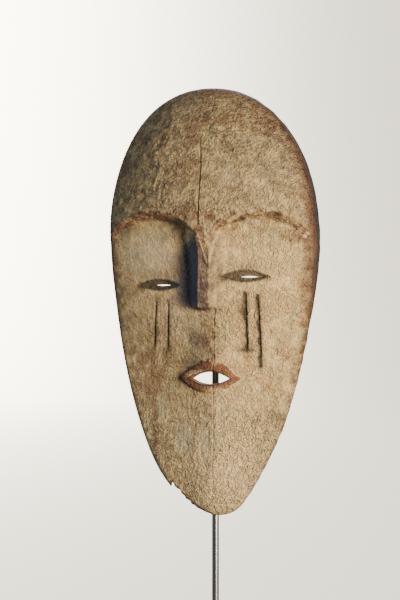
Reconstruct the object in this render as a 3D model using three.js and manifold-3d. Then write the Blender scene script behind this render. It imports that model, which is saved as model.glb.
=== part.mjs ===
// A carved wooden face mask of Gabon, held up on a steel display rod that stands in a square foot.
// Millimetres, +Z up. The mask looks along -Y, and the origin is the middle of the foot's underside.
// On the mask, "up" is the height above its chin, "depth" the distance in front of the plane of its rim.
import * as THREE from "three";
import { mergeVertices } from "three/addons/utils/BufferGeometryUtils.js";
import Module from "manifold-3d";

const wasm = await Module();
wasm.setup();

// Outline of the mask: an oval, widest at the brow, drawn in to a blunt chin.
const MASK_HEIGHT = 370;
const MASK_HALF_WIDTH = 91.3;
const WIDEST_UP = 238;
const CROWN_SQUARENESS = 2.2;
const JAW_TAPER = 1.77;
const CHIN_BLUNTNESS = 0.51;

// Wood of the shell.
const WALL = 8.5;
const RIM_FLAT = 4.5;
const INNER_WALL_RUN = 6;
const ARRIS_RADIUS = 4.5;
const BACK_EDGE_RADIUS = 1.5;
const JAW_BACK_INSET = 2.5;
const BROW_BACK_INSET = 0.5;
const BACK_INSET_CHANGE = { from: 130, run: 90 };
const HOLLOW_BROW = { from: 226, run: 60 };

// Curve of the face and of the forehead, from the keel out to the edge.
const JAW_ROUNDNESS = 1.5;
const CHEEK_ROUNDNESS = 2.3;
const ROUNDNESS_RUN = 80;
const FACE_FULLNESS = 0.85;
const FOREHEAD_ROUNDNESS = 1.8;
const FOREHEAD_FULLNESS = 0.75;
const FOREHEAD_DEPTH = 66;
const FOREHEAD_TOP_UP = 248;
const CROWN_DEPTH = 10;

// Brows and nose.
const BROW_LINE = 246;
const BROW_STEP_RUN = 9;
const NOSE_TIP_UP = 180;
const NOSE_ROOT_UP = 240;
const NOSE_TIP_DEPTH = 50;
const NOSE_ROOT_DEPTH = 66;
const NOSE_HALF_WIDTH = 4.4;
const NOSE_FLANK_SLOPE = 1.45;
const NOSE_END_SLOPE = 4;
const NOSE_ROOT_SLOPE = 0.6;
const NOSE_BLEND = 3;

// Eyes, mouth and the cut marks under the eyes. Each lens has pointed ends.
const EYES = [
  { x: -39, up: 199, slit: 2.5 },
  { x: 37.5, up: 206, slit: 2.5 },
];
const EYE_HOLLOW = { half: 20, above: 5, below: 4.2 };
const EYE_HOLLOW_DEPTH = 3.4;
const EYE_HOLLOW_DRAFT = { floor: 0.35, mouth: 1.2 };
const EYE_SLIT = { half: 8.2, above: 1.4, below: 1.3 };
const MOUTH = { x: 3, up: 119 };
const LIPS = { half: 28, above: 15, below: 13 };
const LIPS_PROUD = 2.6;
const LIPS_ROOT = 5;
const LIPS_BEVEL = 1.6;
const MOUTH_HOLE = { half: 20, above: 7, below: 6.2 };
const MOUTH_HOLE_TAPER = 0.88;
const MUZZLE = { deep: 4, wide: 30, tall: 32, above: 4 };
const PAST_THE_FACE = 90;
const CUT_MARK_RADIUS = 1.7;
const CUT_MARK_LIFT = 0.4;
const CUT_MARKS = [
  { top: [-42.5, 188], foot: [-47.5, 144] },
  { top: [-31.5, 186], foot: [-34.8, 142] },
  { top: [37, 192], foot: [36, 142] },
  { top: [47.5, 190], foot: [47, 130] },
];

// The piece broken off the left of the chin: [x, up], with the splinter that still hangs there.
const CHIN_BREAK = [
  [-36.5, 21.5],
  [-34.6, 27],
  [-30, 22],
  [-25.3, 17.4],
  [-20.8, 12.2],
  [-14.5, 6.1],
  [-8, 2.6],
  [-6, -6],
  [-50, -6],
];

// The stand.
const FOOT_SIZE = 130;
const FOOT_THICKNESS = 12;
const FOOT_CORNER = 3;
const FOOT_BEVEL = 1;
const CHIN_ABOVE_FLOOR = 110;
const ROD_RADIUS = 3;
const ROD_SOCKET_DEPTH = 8;
const CLEARANCE = 0.4;
const BEND_RADIUS = 12;
const BEND_STEPS = 7;
const CRADLE_BAR_RADIUS = 2.5;
const CRADLE_BAR_REACH = 38;
const CRADLE_BAR_INSET = 13.3;
const CRADLE_BAR_DEPTH = 14;
const ROD_SIDES = 20;
const CRADLE_BAR_SIDES = 12;
const CRADLE_STEPS = 16;

const RIM_Y = -(ROD_RADIUS + CLEARANCE);

// Small maths.
const clamp01 = (t) => Math.min(1, Math.max(0, t));
const mix = (a, b, t) => a + (b - a) * t;
const bell = (v, centre, spread) => Math.exp(-(((v - centre) / spread) ** 2));
const softMax = (a, b, k) => (a + b + Math.sqrt((a - b) ** 2 + k * k)) / 2;

function smooth(t) {
  const c = clamp01(t);
  return c * c * (3 - 2 * c);
}

// A smooth curve through [place, value] pairs, level at both ends.
function through(knots) {
  const slopes = knots.map((knot, i) => {
    if (i === 0 || i === knots.length - 1) return 0;
    const [before, after] = [knots[i - 1], knots[i + 1]];
    return (after[1] - before[1]) / (after[0] - before[0]);
  });
  return (at) => {
    if (at <= knots[0][0]) return knots[0][1];
    for (let i = 1; i < knots.length; i++) {
      const [a, b] = [knots[i - 1], knots[i]];
      if (at > b[0]) continue;
      const run = b[0] - a[0];
      const t = (at - a[0]) / run;
      const swing = (1 - t) * t * (slopes[i - 1] * (1 - t) - slopes[i] * t) * run;
      return mix(a[1], b[1], t * t * (3 - 2 * t)) + swing;
    }
    return knots[knots.length - 1][1];
  };
}

// Depth of the edge between face and side, and depth of the face along its keel, by height.
const edgeDepth = through([
  [0, 12], [60, 11.5], [120, 12], [180, 16], [212, 22], [240, 26], [262, 26], [300, 20], [340, 13],
  [MASK_HEIGHT, CROWN_DEPTH],
]);
const keelDepth = through([
  [0, 15], [17, 19], [60, 24], [118, 27.5], [176, 38], [210, 44], [240, 47], [262, 48], [310, 44],
  [MASK_HEIGHT, CROWN_DEPTH],
]);

// Sideways place of the outline's middle, of the keel and of the nose, by height.
const rimCentre = through([
  [0, 6.5], [17, 1.2], [37, -1], [78, -0.2], [120, 0.6], [172, 2], [220, 3.4], [242, 3.6], [300, 2],
  [MASK_HEIGHT, -1],
]);
const keelX = through([
  [0, 0], [20, 2.7], [64, 5.5], [118, 7.5], [176, 8], [255, 2],
  [MASK_HEIGHT, -2],
]);
const noseX = through([
  [0, 2], [64, 5.5], [118, 7], [160, 5.6], [180, 3.2], [210, 5.2], [228, 6.4], [255, 3], [300, 3.6],
  [MASK_HEIGHT, -2],
]);

// Height of the brow's lower edge, by sideways place.
const browUp = through([
  [-97, 226], [-78, 241.5], [-60, 249.5], [-42, 252.5], [-22, 249.5], [-9, 244], [5, 230],
  [11, 231.5], [18, 242], [31, 250.5], [48, 253.2], [64, 252], [84, 243], [97, 230],
]);

function halfWidth(up) {
  if (up >= WIDEST_UP) {
    const t = clamp01((up - WIDEST_UP) / (MASK_HEIGHT - WIDEST_UP));
    return MASK_HALF_WIDTH * (1 - t ** CROWN_SQUARENESS) ** (1 / CROWN_SQUARENESS);
  }
  const t = clamp01((WIDEST_UP - up) / WIDEST_UP);
  return MASK_HALF_WIDTH * (1 - t ** JAW_TAPER) ** CHIN_BLUNTNESS;
}

// The outline as points, for distances from the edge.
const OUTLINE_STEPS = 120;
const outline = [];
for (const side of [-1, 1]) {
  for (let i = 0; i <= OUTLINE_STEPS; i++) {
    const up = (MASK_HEIGHT * (1 - Math.cos((Math.PI * i) / OUTLINE_STEPS))) / 2;
    const height = side < 0 ? up : MASK_HEIGHT - up;
    outline.push([rimCentre(height) + side * halfWidth(height), height]);
  }
}

function edgeDistance(x, up) {
  let nearest = Infinity;
  for (let i = 0; i < outline.length; i++) {
    const [ax, au] = outline[i];
    const [bx, bu] = outline[(i + 1) % outline.length];
    const [dx, du] = [bx - ax, bu - au];
    const lengthSquared = dx * dx + du * du || 1;
    const t = clamp01(((x - ax) * dx + (up - au) * du) / lengthSquared);
    nearest = Math.min(nearest, Math.hypot(x - ax - t * dx, up - au - t * du));
  }
  return nearest;
}

// How far a point lies from the keel towards the edge, 0 to 1.
function shareToEdge(x, up) {
  const keel = keelX(up);
  const edge = rimCentre(up) + Math.sign(x - keel) * halfWidth(up);
  return clamp01((x - keel) / (edge - keel || 1));
}

// The face below the brows: a long shallow keel with a swelling round the mouth.
function facePlane(x, up) {
  const roundness = mix(JAW_ROUNDNESS, CHEEK_ROUNDNESS, smooth((up - MOUTH.up) / ROUNDNESS_RUN));
  const across = (1 - shareToEdge(x, up) ** roundness) ** FACE_FULLNESS;
  const aside = bell(x, MOUTH.x, MUZZLE.wide);
  const along = bell(up, MOUTH.up + MUZZLE.above, MUZZLE.tall);
  return mix(edgeDepth(up), keelDepth(up) + MUZZLE.deep * aside * along, across);
}

// The forehead: half an egg, with a soft crest down its middle.
function forehead(x, up) {
  const t = clamp01((up - FOREHEAD_TOP_UP) / (MASK_HEIGHT - FOREHEAD_TOP_UP));
  const crest = mix(CROWN_DEPTH, FOREHEAD_DEPTH, Math.sqrt(1 - t * t));
  const across = (1 - shareToEdge(x, up) ** FOREHEAD_ROUNDNESS) ** FOREHEAD_FULLNESS;
  return mix(Math.min(edgeDepth(up), crest), crest, across);
}

function nose(x, up) {
  const t = (up - NOSE_TIP_UP) / (NOSE_ROOT_UP - NOSE_TIP_UP);
  const flank = Math.max(0, Math.abs(x - noseX(up)) - NOSE_HALF_WIDTH) * NOSE_FLANK_SLOPE;
  const tip = Math.max(0, NOSE_TIP_UP - up) * NOSE_END_SLOPE;
  const root = Math.max(0, up - NOSE_ROOT_UP) * NOSE_ROOT_SLOPE;
  return mix(NOSE_TIP_DEPTH, NOSE_ROOT_DEPTH, clamp01(t)) - flank - tip - root;
}

function frontDepth(x, up) {
  const aboveBrow = smooth((up - browUp(x)) / BROW_STEP_RUN);
  const broad = mix(facePlane(x, up), forehead(x, up), aboveBrow);
  const depth = softMax(broad, nose(x, up), NOSE_BLEND);
  const inside = Math.min(ARRIS_RADIUS, edgeDistance(x, up));
  const rounding = ARRIS_RADIUS - Math.sqrt(ARRIS_RADIUS ** 2 - (ARRIS_RADIUS - inside) ** 2);
  return Math.max(depth - rounding, BACK_EDGE_RADIUS + 1);
}

// The hollow behind follows the face without its nose, and stops at a flat rim.
function backDepth(x, up) {
  const aboveBrow = smooth((up - HOLLOW_BROW.from) / HOLLOW_BROW.run);
  const broad = mix(facePlane(x, up), forehead(x, up), aboveBrow);
  const fromRim = edgeDistance(x, up) - backInset(up) - BACK_EDGE_RADIUS - RIM_FLAT;
  return Math.max(0, broad - WALL) * smooth(fromRim / INNER_WALL_RUN);
}

function backInset(up) {
  const aboveJaw = smooth((up - BACK_INSET_CHANGE.from) / BACK_INSET_CHANGE.run);
  return mix(JAW_BACK_INSET, BROW_BACK_INSET, aboveJaw);
}

const onMask = (x, up, depth) => new THREE.Vector3(x, RIM_Y - depth, CHIN_ABOVE_FLOOR + up);

// Solids to and from the boolean library.
function solidFrom(geometry) {
  const plain = geometry.clone();
  plain.deleteAttribute("normal");
  plain.deleteAttribute("uv");
  const merged = mergeVertices(plain, 1e-4);
  const vertProperties = new Float32Array(merged.attributes.position.array);
  const triVerts = new Uint32Array(merged.index.array);
  return new wasm.Manifold(new wasm.Mesh({ numProp: 3, vertProperties, triVerts }));
}

function geometryFrom(solid) {
  const made = solid.getMesh();
  const geometry = new THREE.BufferGeometry();
  geometry.setAttribute("position", new THREE.BufferAttribute(made.vertProperties, 3));
  geometry.setIndex(new THREE.BufferAttribute(made.triVerts, 1));
  return geometry;
}

// Heights of the shell's sections: even steps along the outline, with a few set ones at brow and nose tip.
const TIP_HEIGHTS = [-4.6, -3, -1.5, 0, 2].map((step) => NOSE_TIP_UP + step);
const BROW_HEIGHTS = [-1.5, 0, 3, 6, BROW_STEP_RUN, BROW_STEP_RUN + 2].map((step) => BROW_LINE + step);
const SET_HEIGHTS = [...TIP_HEIGHTS, ...BROW_HEIGHTS];
const ROOM_AT_SET_HEIGHTS = 2;
const END_STEP = 0.35;

function sectionHeights(count) {
  const fine = 4000;
  const places = [{ up: 0, spent: 0 }];
  for (let i = 1; i <= fine; i++) {
    const last = places[i - 1];
    const up = (MASK_HEIGHT * (1 - Math.cos((Math.PI * i) / fine))) / 2;
    const along = Math.hypot(up - last.up, halfWidth(up) - halfWidth(last.up));
    places.push({ up, spent: last.spent + along });
  }
  const total = places[fine].spent;
  const heights = [...SET_HEIGHTS];
  for (let i = 0; i < count; i++) {
    const along = (total * (i + END_STEP)) / (count - 1 + 2 * END_STEP);
    const { up } = places.find((place) => place.spent >= along);
    if (SET_HEIGHTS.every((set) => Math.abs(set - up) > ROOM_AT_SET_HEIGHTS)) heights.push(up);
  }
  return heights.sort((a, b) => a - b);
}

// Columns of the face, left to right: evenly from the edge to the nose, and set ones along nose and edge.
const NOSE_COLUMNS = [-15, -11, -8, -4.6, 0, 4.6, 8, 11, 15];
const EDGE_COLUMNS = [0, 1.3, ARRIS_RADIUS];
const SIDE_COLUMNS = 10;
const CLOSE_UP_BELOW = 40;

function faceColumns(up) {
  const narrow = Math.min(1, halfWidth(up) / CLOSE_UP_BELOW);
  const side = (sign) => {
    const edge = rimCentre(up) + sign * halfWidth(up);
    const columns = EDGE_COLUMNS.map((inside) => edge - sign * inside * narrow);
    const [from, to] = [columns.at(-1), noseX(up) + sign * NOSE_COLUMNS.at(-1) * narrow];
    for (let i = 1; i <= SIDE_COLUMNS; i++) columns.push(mix(from, to, i / (SIDE_COLUMNS + 1)));
    return columns;
  };
  const middle = NOSE_COLUMNS.map((offset) => noseX(up) + offset * narrow);
  return [...side(-1), ...middle, ...side(1).reverse()];
}

// Sections bend up and down with the brow, so that its step runs along them. Nose tip and crown stay level.
const BEND = { from: 186, rise: 45, fall: 60, to: 330 };

function bend(x, height) {
  const near = smooth((height - BEND.from) / BEND.rise) * smooth((BEND.to - height) / BEND.fall);
  return (browUp(x) - BROW_LINE) * near;
}

// One side of the back at a height: places at set distances inside the outline, from the edge inwards.
const WALL_STEPS = [0, BACK_EDGE_RADIUS, RIM_FLAT, INNER_WALL_RUN / 2, INNER_WALL_RUN / 2];
const STEPS_TO_RIM_END = 2;
const SLOPE_REACH = 0.05;

function backSide(sign, up) {
  const edgeAt = (height) => rimCentre(height) + sign * halfWidth(height);
  const [above, below] = [Math.min(up + SLOPE_REACH, MASK_HEIGHT), Math.max(up - SLOPE_REACH, 0)];
  const along = new THREE.Vector2(edgeAt(above) - edgeAt(below), above - below).normalize();
  let inside = backInset(up);
  return WALL_STEPS.map((step, i) => {
    inside += step;
    const x = edgeAt(up) - sign * along.y * inside;
    const height = up + sign * along.x * inside;
    if (i === 0) return [x, height, BACK_EDGE_RADIUS];
    return [x, height, i > STEPS_TO_RIM_END ? backDepth(x, height) : 0];
  });
}

// The shell, lofted through its sections. Each one runs across the face and back along the hollow.
const SECTIONS = 60;
const BACK_COLUMNS = 9;

function section(height, end) {
  const points = faceColumns(height).map((x, column) => {
    const up = height + bend(x, height);
    const place = faceColumns(up)[column];
    return [place, up, frontDepth(place, up)];
  });
  const left = backSide(-1, points[0][1]);
  const right = backSide(1, points.at(-1)[1]);
  const [from, to] = [right.at(-1), left.at(-1)];
  points.push(...right);
  for (let i = 1; i <= BACK_COLUMNS; i++) {
    const t = i / (BACK_COLUMNS + 1);
    const [x, up] = [mix(from[0], to[0], t), mix(from[1], to[1], t) - end * t * (1 - t)];
    points.push([x, up, backDepth(x, up)]);
  }
  points.push(...left.reverse());
  return points.map(([x, up, depth]) => onMask(x, up, depth));
}

function shell() {
  const heights = sectionHeights(SECTIONS);
  const sections = heights.map((up, i) => section(up, i === 0 ? -1 : i === heights.length - 1 ? 1 : 0));
  const around = sections[0].length;
  const positions = [];
  const faces = [];
  for (const points of sections) points.forEach((p) => positions.push(p.x, p.y, p.z));
  for (let i = 0; i + 1 < sections.length; i++) {
    for (let j = 0; j < around; j++) {
      const [a, b] = [i * around + j, i * around + ((j + 1) % around)];
      faces.push(a, b, a + around, b, b + around, a + around);
    }
  }
  closeEnd(faces, 0, around, true);
  closeEnd(faces, (sections.length - 1) * around, around, false);
  const geometry = new THREE.BufferGeometry();
  geometry.setAttribute("position", new THREE.Float32BufferAttribute(positions, 3));
  geometry.setIndex(faces);
  return solidFrom(geometry);
}

// An end section is closed by a fan over the face, strips over the wall and a fan over the hollow.
function closeEnd(faces, first, around, flip) {
  const add = (a, b, c) => faces.push(first + a, first + (flip ? c : b), first + (flip ? b : c));
  const front = around - BACK_COLUMNS - 2 * WALL_STEPS.length;
  for (let j = 1; j + 1 < front; j++) add(0, j, j + 1);
  for (let k = 0; k < WALL_STEPS.length; k++) {
    const [left, right] = [(around - k) % around, front - 1 + k];
    add(left, right, right + 1);
    add(left, right + 1, around - k - 1);
  }
  const from = front - 1 + WALL_STEPS.length;
  for (let j = 1; j <= BACK_COLUMNS; j++) add(around - WALL_STEPS.length, from + j - 1, from + j);
}

// A lens with pointed ends, as a shape in the plane of the face.
function lensShape({ half, above, below }, steps = 7) {
  const points = [];
  for (let i = 0; i < steps; i++) {
    const t = -1 + (2 * i) / steps;
    points.push(new THREE.Vector2(t * half, -below * (1 - t * t)));
  }
  for (let i = 0; i < steps; i++) {
    const t = 1 - (2 * i) / steps;
    points.push(new THREE.Vector2(t * half, above * (1 - t * t)));
  }
  return new THREE.Shape(points);
}

// A shape of the face's plane, run from one depth to another, drawn in at the back by a factor.
function alongDepth(shape, place, from, to, taper = 1) {
  const geometry = new THREE.ExtrudeGeometry(shape, { depth: to - from, bevelEnabled: false });
  return placed(geometry, place, (x, up, z) => {
    const draw = mix(taper, 1, z / (to - from));
    return [x * draw, up * draw, from + z];
  });
}

// Moves an extruded shape onto the mask, by a rule for its sideways place, height and depth.
function placed(geometry, place, rule) {
  const position = geometry.attributes.position;
  for (let i = 0; i < position.count; i++) {
    const [x, up, depth] = rule(position.getX(i), position.getY(i), position.getZ(i));
    const p = onMask(place.x + x, place.up + up, depth);
    position.setXYZ(i, p.x, p.y, p.z);
  }
  return solidFrom(geometry);
}

const surfaceAt = (place, x, up) => frontDepth(place.x + x, place.up + up);

// The lips: a lens that stands a little proud of the face all round.
function lips() {
  const geometry = new THREE.ExtrudeGeometry(lensShape(LIPS, 10), {
    depth: LIPS_ROOT + LIPS_PROUD - LIPS_BEVEL,
    bevelThickness: LIPS_BEVEL,
    bevelSize: LIPS_BEVEL,
    bevelOffset: -LIPS_BEVEL,
    bevelSegments: 1,
  });
  return placed(geometry, MOUTH, (x, up, z) => [x, up, surfaceAt(MOUTH, x, up) - LIPS_ROOT + z]);
}

// The hollow round an eye slit: a lens sunk into the face, with sloping sides.
function eyeHollow(eye) {
  const geometry = new THREE.ExtrudeGeometry(lensShape(EYE_HOLLOW), { depth: 1, bevelEnabled: false });
  return placed(geometry, eye, (x, up, z) => {
    const draw = mix(EYE_HOLLOW_DRAFT.floor, EYE_HOLLOW_DRAFT.mouth, z);
    const depth = surfaceAt(eye, x * draw, up * draw) + mix(-EYE_HOLLOW_DEPTH, 1, z);
    return [x * draw, up * draw, depth];
  });
}

function cutMark({ top, foot }) {
  const [a, b] = [top, foot].map(([x, up]) => onMask(x, up, frontDepth(x, up) + CUT_MARK_LIFT));
  const path = new THREE.LineCurve3(a, b);
  const geometry = new THREE.CylinderGeometry(CUT_MARK_RADIUS, CUT_MARK_RADIUS, path.getLength(), 6);
  const turn = new THREE.Quaternion().setFromUnitVectors(
    new THREE.Vector3(0, 1, 0),
    path.getTangent(0).negate(),
  );
  geometry.applyQuaternion(turn);
  const middle = path.getPoint(0.5);
  geometry.translate(middle.x, middle.y, middle.z);
  return solidFrom(geometry);
}

function chinBreak() {
  const shape = new THREE.Shape(CHIN_BREAK.map(([x, up]) => new THREE.Vector2(x, up)));
  return alongDepth(shape, { x: 0, up: 0 }, -BACK_EDGE_RADIUS, PAST_THE_FACE);
}

function carvedMask() {
  let wood = shell().add(lips());
  wood = wood.subtract(alongDepth(lensShape(MOUTH_HOLE), MOUTH, 0, PAST_THE_FACE, MOUTH_HOLE_TAPER));
  for (const eye of EYES) {
    wood = wood.subtract(eyeHollow(eye));
    const slit = { x: eye.x + eye.slit, up: eye.up };
    wood = wood.subtract(alongDepth(lensShape(EYE_SLIT, 4), slit, 0, PAST_THE_FACE));
  }
  for (const mark of CUT_MARKS) wood = wood.subtract(cutMark(mark));
  return wood.subtract(chinBreak());
}

// The path of the cradle bar: an arc under the crown, level in depth, parallel to the outline.
function cradlePath() {
  const points = [];
  for (let i = 0; i <= CRADLE_STEPS; i++) {
    const x = mix(-CRADLE_BAR_REACH, CRADLE_BAR_REACH, i / CRADLE_STEPS);
    let up = MASK_HEIGHT;
    while (edgeDistance(x, up) < CRADLE_BAR_INSET || up > MASK_HEIGHT - CRADLE_BAR_INSET) up -= 0.25;
    points.push(onMask(x, up, CRADLE_BAR_DEPTH));
  }
  return new THREE.CatmullRomCurve3(points);
}

// A round bar through the given points, closed flat at both ends, as a solid.
function roundBar(points, radius, sides) {
  const stations = points.map((point, i) => {
    const [before, after] = [points[Math.max(0, i - 1)], points[Math.min(points.length - 1, i + 1)]];
    const along = after.clone().sub(before).normalize();
    const across = new THREE.Vector3(Math.abs(along.x) > 0.5 ? 0 : 1, Math.abs(along.x) > 0.5 ? 1 : 0, 0);
    across.addScaledVector(along, -across.dot(along)).normalize();
    return { point, across, other: along.clone().cross(across) };
  });
  const positions = [];
  const faces = [];
  for (const { point, across, other } of stations) {
    for (let j = 0; j < sides; j++) {
      const angle = (2 * Math.PI * j) / sides;
      const p = point.clone().addScaledVector(across, radius * Math.cos(angle));
      p.addScaledVector(other, radius * Math.sin(angle));
      positions.push(p.x, p.y, p.z);
    }
  }
  const last = (stations.length - 1) * sides;
  for (let j = 0; j < sides; j++) {
    const next = (j + 1) % sides;
    for (let i = 0; i < last; i += sides) {
      faces.push(i + j, i + next, i + j + sides, i + next, i + next + sides, i + j + sides);
    }
    if (j > 0 && j < sides - 1) faces.push(0, j + 1, j, last, last + j, last + j + 1);
  }
  const geometry = new THREE.BufferGeometry();
  geometry.setAttribute("position", new THREE.Float32BufferAttribute(positions, 3));
  geometry.setIndex(faces);
  return solidFrom(geometry);
}

// One straight rod from the foot to the crown, bent forward under the cradle bar brazed across it.
function rodWithCradle() {
  const cradle = cradlePath();
  const join = cradle.getPoint(0.5);
  const path = [new THREE.Vector3(0, 0, FOOT_THICKNESS - ROD_SOCKET_DEPTH + CLEARANCE)];
  for (let i = 0; i <= BEND_STEPS; i++) {
    const turn = ((Math.PI / 2) * i) / BEND_STEPS;
    const y = -BEND_RADIUS * (1 - Math.cos(turn));
    path.push(new THREE.Vector3(0, y, join.z - BEND_RADIUS * (1 - Math.sin(turn))));
  }
  path.push(new THREE.Vector3(0, join.y, join.z));
  const rod = roundBar(path, ROD_RADIUS, ROD_SIDES);
  return rod.add(roundBar(cradle.getPoints(CRADLE_STEPS), CRADLE_BAR_RADIUS, CRADLE_BAR_SIDES));
}

function squareFoot() {
  const half = FOOT_SIZE / 2 - FOOT_BEVEL;
  const shape = new THREE.Shape();
  shape.moveTo(-half + FOOT_CORNER, -half);
  for (const [sx, sy, from] of [
    [1, -1, -Math.PI / 2],
    [1, 1, 0],
    [-1, 1, Math.PI / 2],
    [-1, -1, Math.PI],
  ]) {
    const centre = half - FOOT_CORNER;
    shape.absarc(sx * centre, sy * centre, FOOT_CORNER, from, from + Math.PI / 2, false);
  }
  const plate = new THREE.ExtrudeGeometry(shape, {
    depth: FOOT_THICKNESS - 2 * FOOT_BEVEL,
    bevelThickness: FOOT_BEVEL,
    bevelSize: FOOT_BEVEL,
    bevelSegments: 1,
    curveSegments: 4,
  });
  plate.translate(0, 0, FOOT_BEVEL);
  const socket = new THREE.CylinderGeometry(
    ROD_RADIUS + CLEARANCE,
    ROD_RADIUS + CLEARANCE,
    ROD_SOCKET_DEPTH * 2,
    ROD_SIDES,
  );
  socket.rotateX(Math.PI / 2);
  socket.translate(0, 0, FOOT_THICKNESS);
  return solidFrom(plate).subtract(solidFrom(socket));
}

function piece(name, solid, colour, roughness, metalness) {
  const material = new THREE.MeshStandardMaterial({ color: colour, roughness, metalness });
  const mesh = new THREE.Mesh(geometryFrom(solid), material);
  mesh.name = name;
  return mesh;
}

const group = new THREE.Group();
group.add(piece("mask", carvedMask(), 0xb39a73, 0.9, 0));
group.add(piece("stand_rod", rodWithCradle(), 0x8d8f90, 0.3, 1));
group.add(piece("stand_foot", squareFoot(), 0x77797a, 0.4, 1));

export default group;
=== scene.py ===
# A carved wooden face mask of Gabon, whitened with kaolin, on a steel display rod with a square foot.
# The mask looks along -Y and +Z is up. Blender works in metres, and the mask's own carving in millimetres:
# x is sideways, "up" is the height above the chin, and "depth" the distance in front of the rim's plane.
import math

import bmesh
import bpy
import numpy as np
from mathutils import Matrix, Vector, kdtree
from mathutils.geometry import delaunay_2d_cdt


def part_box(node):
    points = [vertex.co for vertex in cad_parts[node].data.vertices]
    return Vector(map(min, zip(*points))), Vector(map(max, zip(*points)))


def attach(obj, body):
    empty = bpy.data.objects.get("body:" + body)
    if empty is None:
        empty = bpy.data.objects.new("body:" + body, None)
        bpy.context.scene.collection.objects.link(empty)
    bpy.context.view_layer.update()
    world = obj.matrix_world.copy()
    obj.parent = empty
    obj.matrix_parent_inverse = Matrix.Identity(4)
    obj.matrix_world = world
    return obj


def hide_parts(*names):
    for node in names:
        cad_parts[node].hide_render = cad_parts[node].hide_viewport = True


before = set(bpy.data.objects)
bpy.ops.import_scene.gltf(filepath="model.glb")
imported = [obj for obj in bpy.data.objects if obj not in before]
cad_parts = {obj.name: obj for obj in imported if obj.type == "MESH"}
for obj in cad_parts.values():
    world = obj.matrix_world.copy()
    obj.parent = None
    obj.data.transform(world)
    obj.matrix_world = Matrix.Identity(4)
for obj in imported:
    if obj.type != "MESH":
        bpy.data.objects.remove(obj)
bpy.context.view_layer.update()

# The mask is one piece of light wood, carved outside and gouged hollow behind, under flaking kaolin. It hangs
# by its crown on the rod's cross bar. First its outline: an oval, widest at the brow and drawn in to a blunt
# chin, a little crooked.
MM = 0.001
RIM_Y = -3.4
CHIN_ABOVE_FLOOR = 110.0
MASK_HEIGHT = 370.0
MASK_HALF_WIDTH = 91.3
WIDEST_UP = 238.0
CROWN_SQUARENESS = 2.2
JAW_TAPER = 1.77
CHIN_BLUNTNESS = 0.51
OUTLINE_TURNS = 3000
EDGE_SPACING = 1.15


def mix(a, b, t):
    return a + (b - a) * t


def smooth(t):
    c = np.clip(t, 0.0, 1.0)
    return c * c * (3.0 - 2.0 * c)


def ramp(v, start, end):
    """0 before a start and 1 past an end, eased between, also where the end lies below the start."""
    return smooth((v - start) / (end - start))


def bell(v, centre, spread):
    return np.exp(-(((v - centre) / spread) ** 2))


def through(*knots):
    """A smooth curve through (place, value) pairs, level at both ends."""
    at = np.array([knot[0] for knot in knots], float)
    value = np.array([knot[1] for knot in knots], float)
    slope = np.zeros(len(knots))
    slope[1:-1] = (value[2:] - value[:-2]) / (at[2:] - at[:-2])

    def read(where):
        where = np.clip(where, at[0], at[-1])
        i = np.clip(np.searchsorted(at, where), 1, len(at) - 1)
        run = at[i] - at[i - 1]
        t = (where - at[i - 1]) / run
        swing = (1.0 - t) * t * (slope[i - 1] * (1.0 - t) - slope[i] * t) * run
        return mix(value[i - 1], value[i], t * t * (3.0 - 2.0 * t)) + swing

    return read


rim_centre = through(
    (0, 6.5), (17, 1.2), (37, -1), (78, -0.2), (120, 0.6),
    (172, 2), (220, 3.4), (242, 3.6), (300, 2), (370, -1),
)


def half_width(up):
    above = np.clip((up - WIDEST_UP) / (MASK_HEIGHT - WIDEST_UP), 0.0, 1.0)
    below = np.clip((WIDEST_UP - up) / WIDEST_UP, 0.0, 1.0)
    crown = (1.0 - above**CROWN_SQUARENESS) ** (1.0 / CROWN_SQUARENESS)
    return MASK_HALF_WIDTH * crown * (1.0 - below**JAW_TAPER) ** CHIN_BLUNTNESS


def outline_points(spacing):
    """The outline as points an even distance apart, counter-clockwise as the mask is seen from the front."""
    turn = np.linspace(0.0, math.pi, OUTLINE_TURNS)
    up = MASK_HEIGHT * (1.0 - np.cos(turn)) / 2.0
    right = np.stack([rim_centre(up) + half_width(up), up], 1)
    left = np.stack([rim_centre(up) - half_width(up), up], 1)[::-1]
    path = np.vstack([right, left[1:]])
    along = np.concatenate([[0.0], np.cumsum(np.hypot(*np.diff(path, axis=0).T))])
    places = np.linspace(0.0, along[-1], int(along[-1] / spacing), endpoint=False)
    return np.stack([np.interp(places, along, path[:, k]) for k in (0, 1)], 1)


rim = outline_points(EDGE_SPACING)
rim_along = np.roll(rim, -1, 0) - np.roll(rim, 1, 0)
rim_inward = np.stack([-rim_along[:, 1], rim_along[:, 0]], 1) / np.hypot(*rim_along.T)[:, None]
coarse_rim = outline_points(3 * EDGE_SPACING)


def edge_distance(x, up):
    nearest = np.full(np.shape(x), np.inf)
    for (ax, au), (bx, bu) in zip(coarse_rim, np.roll(coarse_rim, -1, 0)):
        dx, du = bx - ax, bu - au
        t = np.clip(((x - ax) * dx + (up - au) * du) / (dx * dx + du * du), 0.0, 1.0)
        nearest = np.minimum(nearest, np.hypot(x - ax - t * dx, up - au - t * du))
    return nearest


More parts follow.
